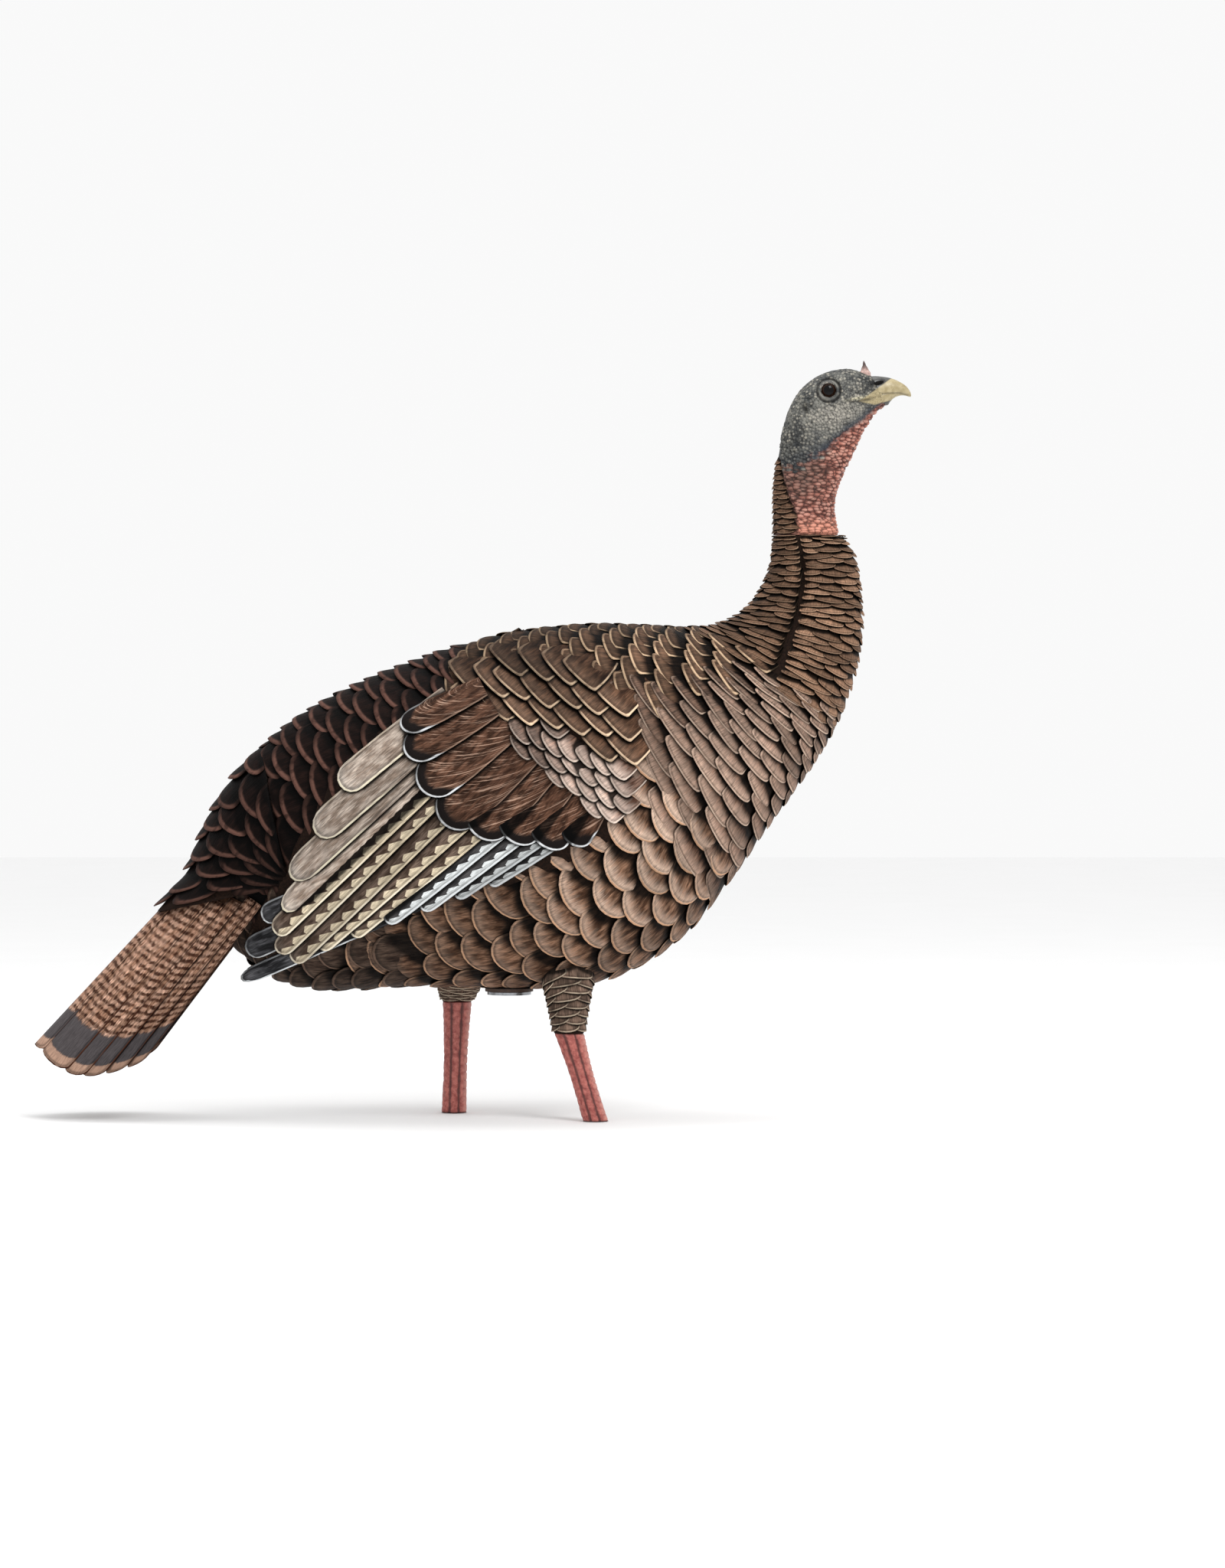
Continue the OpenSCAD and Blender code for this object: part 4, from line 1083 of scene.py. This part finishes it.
# A near-black piece in each nostril: painted shade in the opening.
nostril_shade_mat = plain_paint("nostril", (10, 9, 9), (30, 27, 25), 0.6, 0.8, 0.1)
a, b = grid(np.radians(np.linspace(4, 176, 15)), np.radians(np.arange(0, 360, 18)))
for side, tag in ((1, "left"), (-1, "right")):
    along, up = -4.6 * np.cos(a), 2.0 * np.sin(a) * np.cos(b)
    rings = xyz(337.0 + along, side * (7.6 - 0.16 * along + 1.5 * np.sin(a) * np.sin(b)),
                558.2 + up + 0.25 * along)
    tube_between(f"nostril_{tag}", rings[:, ::side], "head", nostril_shade_mat, slot="horn")

p = Paint("eyelid", 0.5)
n = p.noise(p.place(), 0.6, 3.0)
p.bump(n, 0.0005, 0.6)
# The lid's colour is darkened by painted shade in its gaps.
lid_mat = p.finish(p.shade(p.mix(p.step(n, 0.35, 0.65), (80, 78, 76), (150, 144, 134)),
                           p.crevice_shade(0.003, 1.2)))
a, b = grid(np.radians(np.arange(0, 360, 7.5)), np.radians(np.arange(0, 360, 24)))
rad = 7.8 + 1.1 * np.cos(b) + 0.12 * np.cos(9 * a)
for side, tag in ((1, "left"), (-1, "right")):
    lid = xyz(EYE[0] + rad * np.cos(a), side * (16.9 + 0.9 * np.sin(b) - 0.02 * (rad * np.cos(a) + 2)),
              EYE[1] + 0.93 * rad * np.sin(a))
    q = grid_quads(len(a) + 1, len(b[0]), wrap=True) % a.size
    new_mesh(f"eyelid_{tag}", lid, q[:, ::-side], "head", lid_mat, slot="head_skin")

p = Paint("eye_glass", 0.08, 0.15)
x, _, z = p.parts(p.place())
dx, dz = x - float(EYE[0]), z - float(EYE[1])
iris = p.mix(p.step(p.noise(p.vec(dx, dz, 0.0), 0.9, 3.0), 0.3, 0.7), (20, 12, 8), (58, 36, 24))
p.bsdf.inputs["Coat Weight"].default_value = 0.03
eye_mat = p.finish(p.mix(p.step(p.calc("SQRT", dx * dx + dz * dz), 4.2, 5.0), (6, 5, 5), iris))

p = Paint("snood_skin", 0.55)
pos = p.place()
n = p.noise(pos, 0.7, 3.0)
p.bump(n, 0.0006, 0.8)
col = p.mix(p.step(p.parts(pos)[2], 568.0, 575.0), (206, 172, 162), (84, 66, 62))
snood_mat = p.finish(p.shade(col, p.step(n, 0.3, 0.7, 0.7, 1.2)))
t, a = grid(np.linspace(0, 1, 26), np.radians(np.arange(0, 360, 15)))
rad = np.interp(t, [0, 0.3, 0.55, 0.75, 0.9, 1], [5.8, 5.0, 3.0, 1.5, 0.9, 0.3])
rad = rad + 0.3 * np.sin(24 * t) * (1 - t)
tube_between("snood", xyz(325 - 1.4 * t ** 2 + rad * np.cos(a), rad * np.sin(a), 563 + 15.6 * t), "head",
             snood_mat, replaces=("snood",), slot="head_skin")

# ---------------------------------------------------------------- legs

# Rib over the leg, x and z of the ankle, x of the foot.
RIGHT = dict(u=10.65, x=55.0, ankle=-32.0, foot=79.0)
LEFT = dict(u=12.1, x=-49.0, ankle=-9.0, foot=-52.0)
LEG_Y, FOOT_Z = 46, -112
RING = 48
p = Paint("shank_skin", 0.5, 0.45)
plate, crease, raised = p.split("region")
pos = p.place()
col = p.mix(p.step(p.noise(pos, 0.25, 4.0, 0.65), 0.3, 0.7), (150, 66, 60), (206, 120, 108))
# crease paints the grooves dark red and raised darkens the low parts: painted shade in these hollows. The
# crevice term adds painted shade in the gaps.
col = p.mix(crease, p.mix(plate, col, (232, 172, 158)), (96, 30, 28))
col = p.shade(col, p.step(raised, 0.0, 0.5, 0.5, 1.0))
p.bump(p.noise(pos, 0.9, 2.0), 0.0004, 0.4)
shank_mat = p.finish(p.shade(col, p.crevice_shade(0.003, 1.2)))


def thigh_rings(leg, off=0.0):
    a = np.radians(np.arange(RING) * 360 / RING)
    top = body_skin.lift(leg["u"] - 0.42 * np.cos(a), 156 + 12 * np.sin(a), np.full(RING, -4.0))
    ankle = xyz(leg["x"] + 14.5 * np.cos(a), LEG_Y - 13 * np.sin(a), np.full(RING, leg["ankle"]))
    t = np.linspace(0, 1, 21)[:, None]
    xy = top[None, :, :2] + (ankle - top)[None, :, :2] * (t ** 0.7)[..., None]
    z = top[None, :, 2] + (ankle - top)[None, :, 2] * t
    mid = xy.mean(1, keepdims=True)
    return np.concatenate([mid + (xy - mid) * (1 + off / 15), z[..., None]], -1)


class LegSkin:
    """The thigh of one side. Its parameters are the share of its height and the angle round it."""

    def __init__(self, leg, side):
        self.rings, self.side = thigh_rings(leg), side

    def lift(self, u, v, off):
        u = np.clip(u, 0, 0.999) * 20
        k = (v % 360) / 360 * RING
        i, j = np.floor(u).astype(int), np.floor(k).astype(int) % RING
        fu, fv = (u - i)[..., None], (k - np.floor(k))[..., None]
        g, mid, j_next = self.rings, self.rings.mean(1), (j + 1) % RING
        p = (g[i, j] * (1 - fu) + g[i + 1, j] * fu) * (1 - fv)
        p = p + (g[i, j_next] * (1 - fu) + g[i + 1, j_next] * fu) * fv
        d = p - (mid[i] * (1 - fu) + mid[i + 1] * fu)
        d[..., 2] = 0
        d /= np.linalg.norm(d, axis=-1, keepdims=True) + 1e-9
        return (p + d * np.asarray(off)[..., None]) * (1, self.side, 1)


thigh_mat = feather_paint("thigh_feathers", (66, 50, 41), (122, 98, 84), (176, 150, 132), (214, 194, 170),
                          0.8, 0.9, 0.5, ao=0.003)


def thigh(leg, side, tag):
    rings = thigh_rings(leg, -1.0) * (1, side, 1)
    tube_between(f"thigh_skin_{tag}", rings[:, ::side], "body", under_shade_mat, replaces=(f"thigh_{tag}",),
                 slot="painted_feathers")
    rows = []
    height = float(thigh_rings(leg)[0, :, 2].mean()) - leg["ankle"]
    count = 8
    for k in range(count):
        for j in range(5):
            rows.append([0.25 + 0.73 * k / (count - 1), (j + 0.5 * (k % 2)) * 72 + 10, -1 / height, 0, 0,
                         360 / 84, 13, 24, -1.2, 1.5, 0.3, 0, rng.random(), 0.5, 0.0,
                         height * 0.73 / (count - 1), 1])
    plumage(f"thigh_feathers_{tag}", LegSkin(leg, side), rows, thigh_mat,
            dict(SCALE, ny=6, y0=0.55, thick=0.5))


def shank(leg, side, tag):
    t, deg = grid(np.linspace(0, 1, 70), np.arange(0, 360, 6.0))
    a = np.radians(deg)
    rad = 13 - 2 * t - 1.6 * np.sin(np.pi * t)
    x, top = leg["x"] + (leg["foot"] - leg["x"]) * t, leg["ankle"] - 0.1
    p = xyz(x + rad * np.cos(a), LEG_Y - 0.85 * rad * np.sin(a), top + (FOOT_Z - top) * t)
    scute = np.abs(((t * 14 + 0.12 * np.cos(2 * a)) % 1) - 0.5) * 2
    plate = smooth(60, 20, np.abs(((deg + 180) % 360) - 180))
    bump = plate * 0.7 * smooth(1.0, 0.7, scute) + (1 - plate) * 0.6 * cells(p, 3.4, (1, 1, 0.7), 9)[0]
    # Grooves down the shank, dented in and painted darker as painted shade.
    crease = sum(hump(((deg - c + 180) % 360 - 180) / 6.0) for c in (66, 112, 248, 294))
    bump = (bump - 0.9 * crease) * smooth(0, 0.03, t)
    p = (p + xyz(bump * np.cos(a), -0.85 * bump * np.sin(a), 0 * a)) * (1, side, 1)
    tube_between(f"shank_{tag}", p, "body", shank_mat, {"region": np.clip(xyz(
        plate * 0.5 * smooth(1.0, 0.6, scute), crease * 0.8, bump + 0.3), 0, 1)},
        replaces=(f"shank_{tag}",), slot="shank_skin")


for side, tag, leg in ((1, "left", LEFT), (-1, "right", RIGHT)):
    thigh(leg, side, tag)
    shank(leg, side, tag)

# ---------------------------------------------------------------- fittings that stay as they are in the frame

steel = plain_paint("brushed_steel", (150, 152, 156), (182, 184, 188), 0.4, 0.34, 0.5, 0.15, 1.0)
black = plain_paint("moulded_black", (24, 24, 26), (38, 38, 40), 0.3, 0.5)
brown = plain_paint("moulded_brown", (62, 44, 34), (84, 62, 50), 0.3, 0.6)
nylon = plain_paint("nylon", (214, 210, 196), (228, 226, 216), 0.3, 0.45)
rubber = plain_paint("rubber", (18, 18, 19), (30, 30, 32), 0.5, 0.75)
FINISHES = {
    steel: ("swivel_sleeve", "limiter_pin", "wing_push_nuts", "leg_screws", "tail_nut", "tail_pin",
            "spigot_clip"),
    brown: ("belly_collar",),
    black: ("collar_nut", "stake_tube", "back_pad", "neck_plate", "tail_block", "head_base", "neck_spigot"),
    nylon: ("lower_bush", "upper_bush", "pivot_cup", "seam_dowels", "neck_socket"),
    rubber: ("collar_gasket", "spigot_oring"),
    eye_mat: ("eye_left", "eye_right")}
for mat, names in FINISHES.items():
    for name in names:
        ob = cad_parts[name]
        ob.data.materials.clear()
        ob.data.materials.append(mat)

# ---------------------------------------------------------------- floor, light and camera

p = Paint("floor", 0.8, 0.2)
me = bpy.data.meshes.new("floor")
s, z = 6.0, cad_lo[2] - 0.0005
me.from_pydata([(-s, -s, z), (s, -s, z), (s, s, z), (-s, s, z)], [], [(0, 1, 2, 3)])
greys = [0.93, 0.93, 0.93, 1], [0.96, 0.96, 0.96, 1]
me.materials.append(p.finish(p.mix(p.noise(p.place(), 0.01, 3.0), *greys)))
floor = bpy.data.objects.new("floor", me)
bpy.context.scene.collection.objects.link(floor)

world = bpy.data.worlds.new("studio")
bpy.context.scene.world = world
world.use_nodes = True
world.node_tree.nodes["Background"].inputs[0].default_value = (1, 1, 1, 1)
world.node_tree.nodes["Background"].inputs[1].default_value = 0.95


def aimed(name, data, place, aim):
    """A light or camera at a place, looking at aim."""
    ob = bpy.data.objects.new(name, data)
    bpy.context.scene.collection.objects.link(ob)
    ob.location = place
    ob.rotation_euler = (Vector(aim) - Vector(place)).to_track_quat("-Z", "Y").to_euler()
    return ob


for name, place, target, size, watts in (("key", (0.9, -1.6, 2.0), (0.05, 0, 0.25), 0.9, 26),
                                         ("top", (0.0, 0.1, 2.2), (0.0, 0, 0.2), 1.2, 14)):
    light = bpy.data.lights.new(name, "AREA")
    light.size, light.energy = size, watts
    aimed(name, light, place, target)

cam = bpy.data.cameras.new("camera")
cam.lens, cam.sensor_width = 125.6, 36
DIST, ELEV = 5.0, math.radians(1.5)
target = Vector((0.0945, 0, 0.1925))
place = target + Vector((0, -DIST * math.cos(ELEV), DIST * math.sin(ELEV)))
bpy.context.scene.camera = aimed("camera", cam, place, target)
bpy.context.scene.view_settings.view_transform = "Standard"
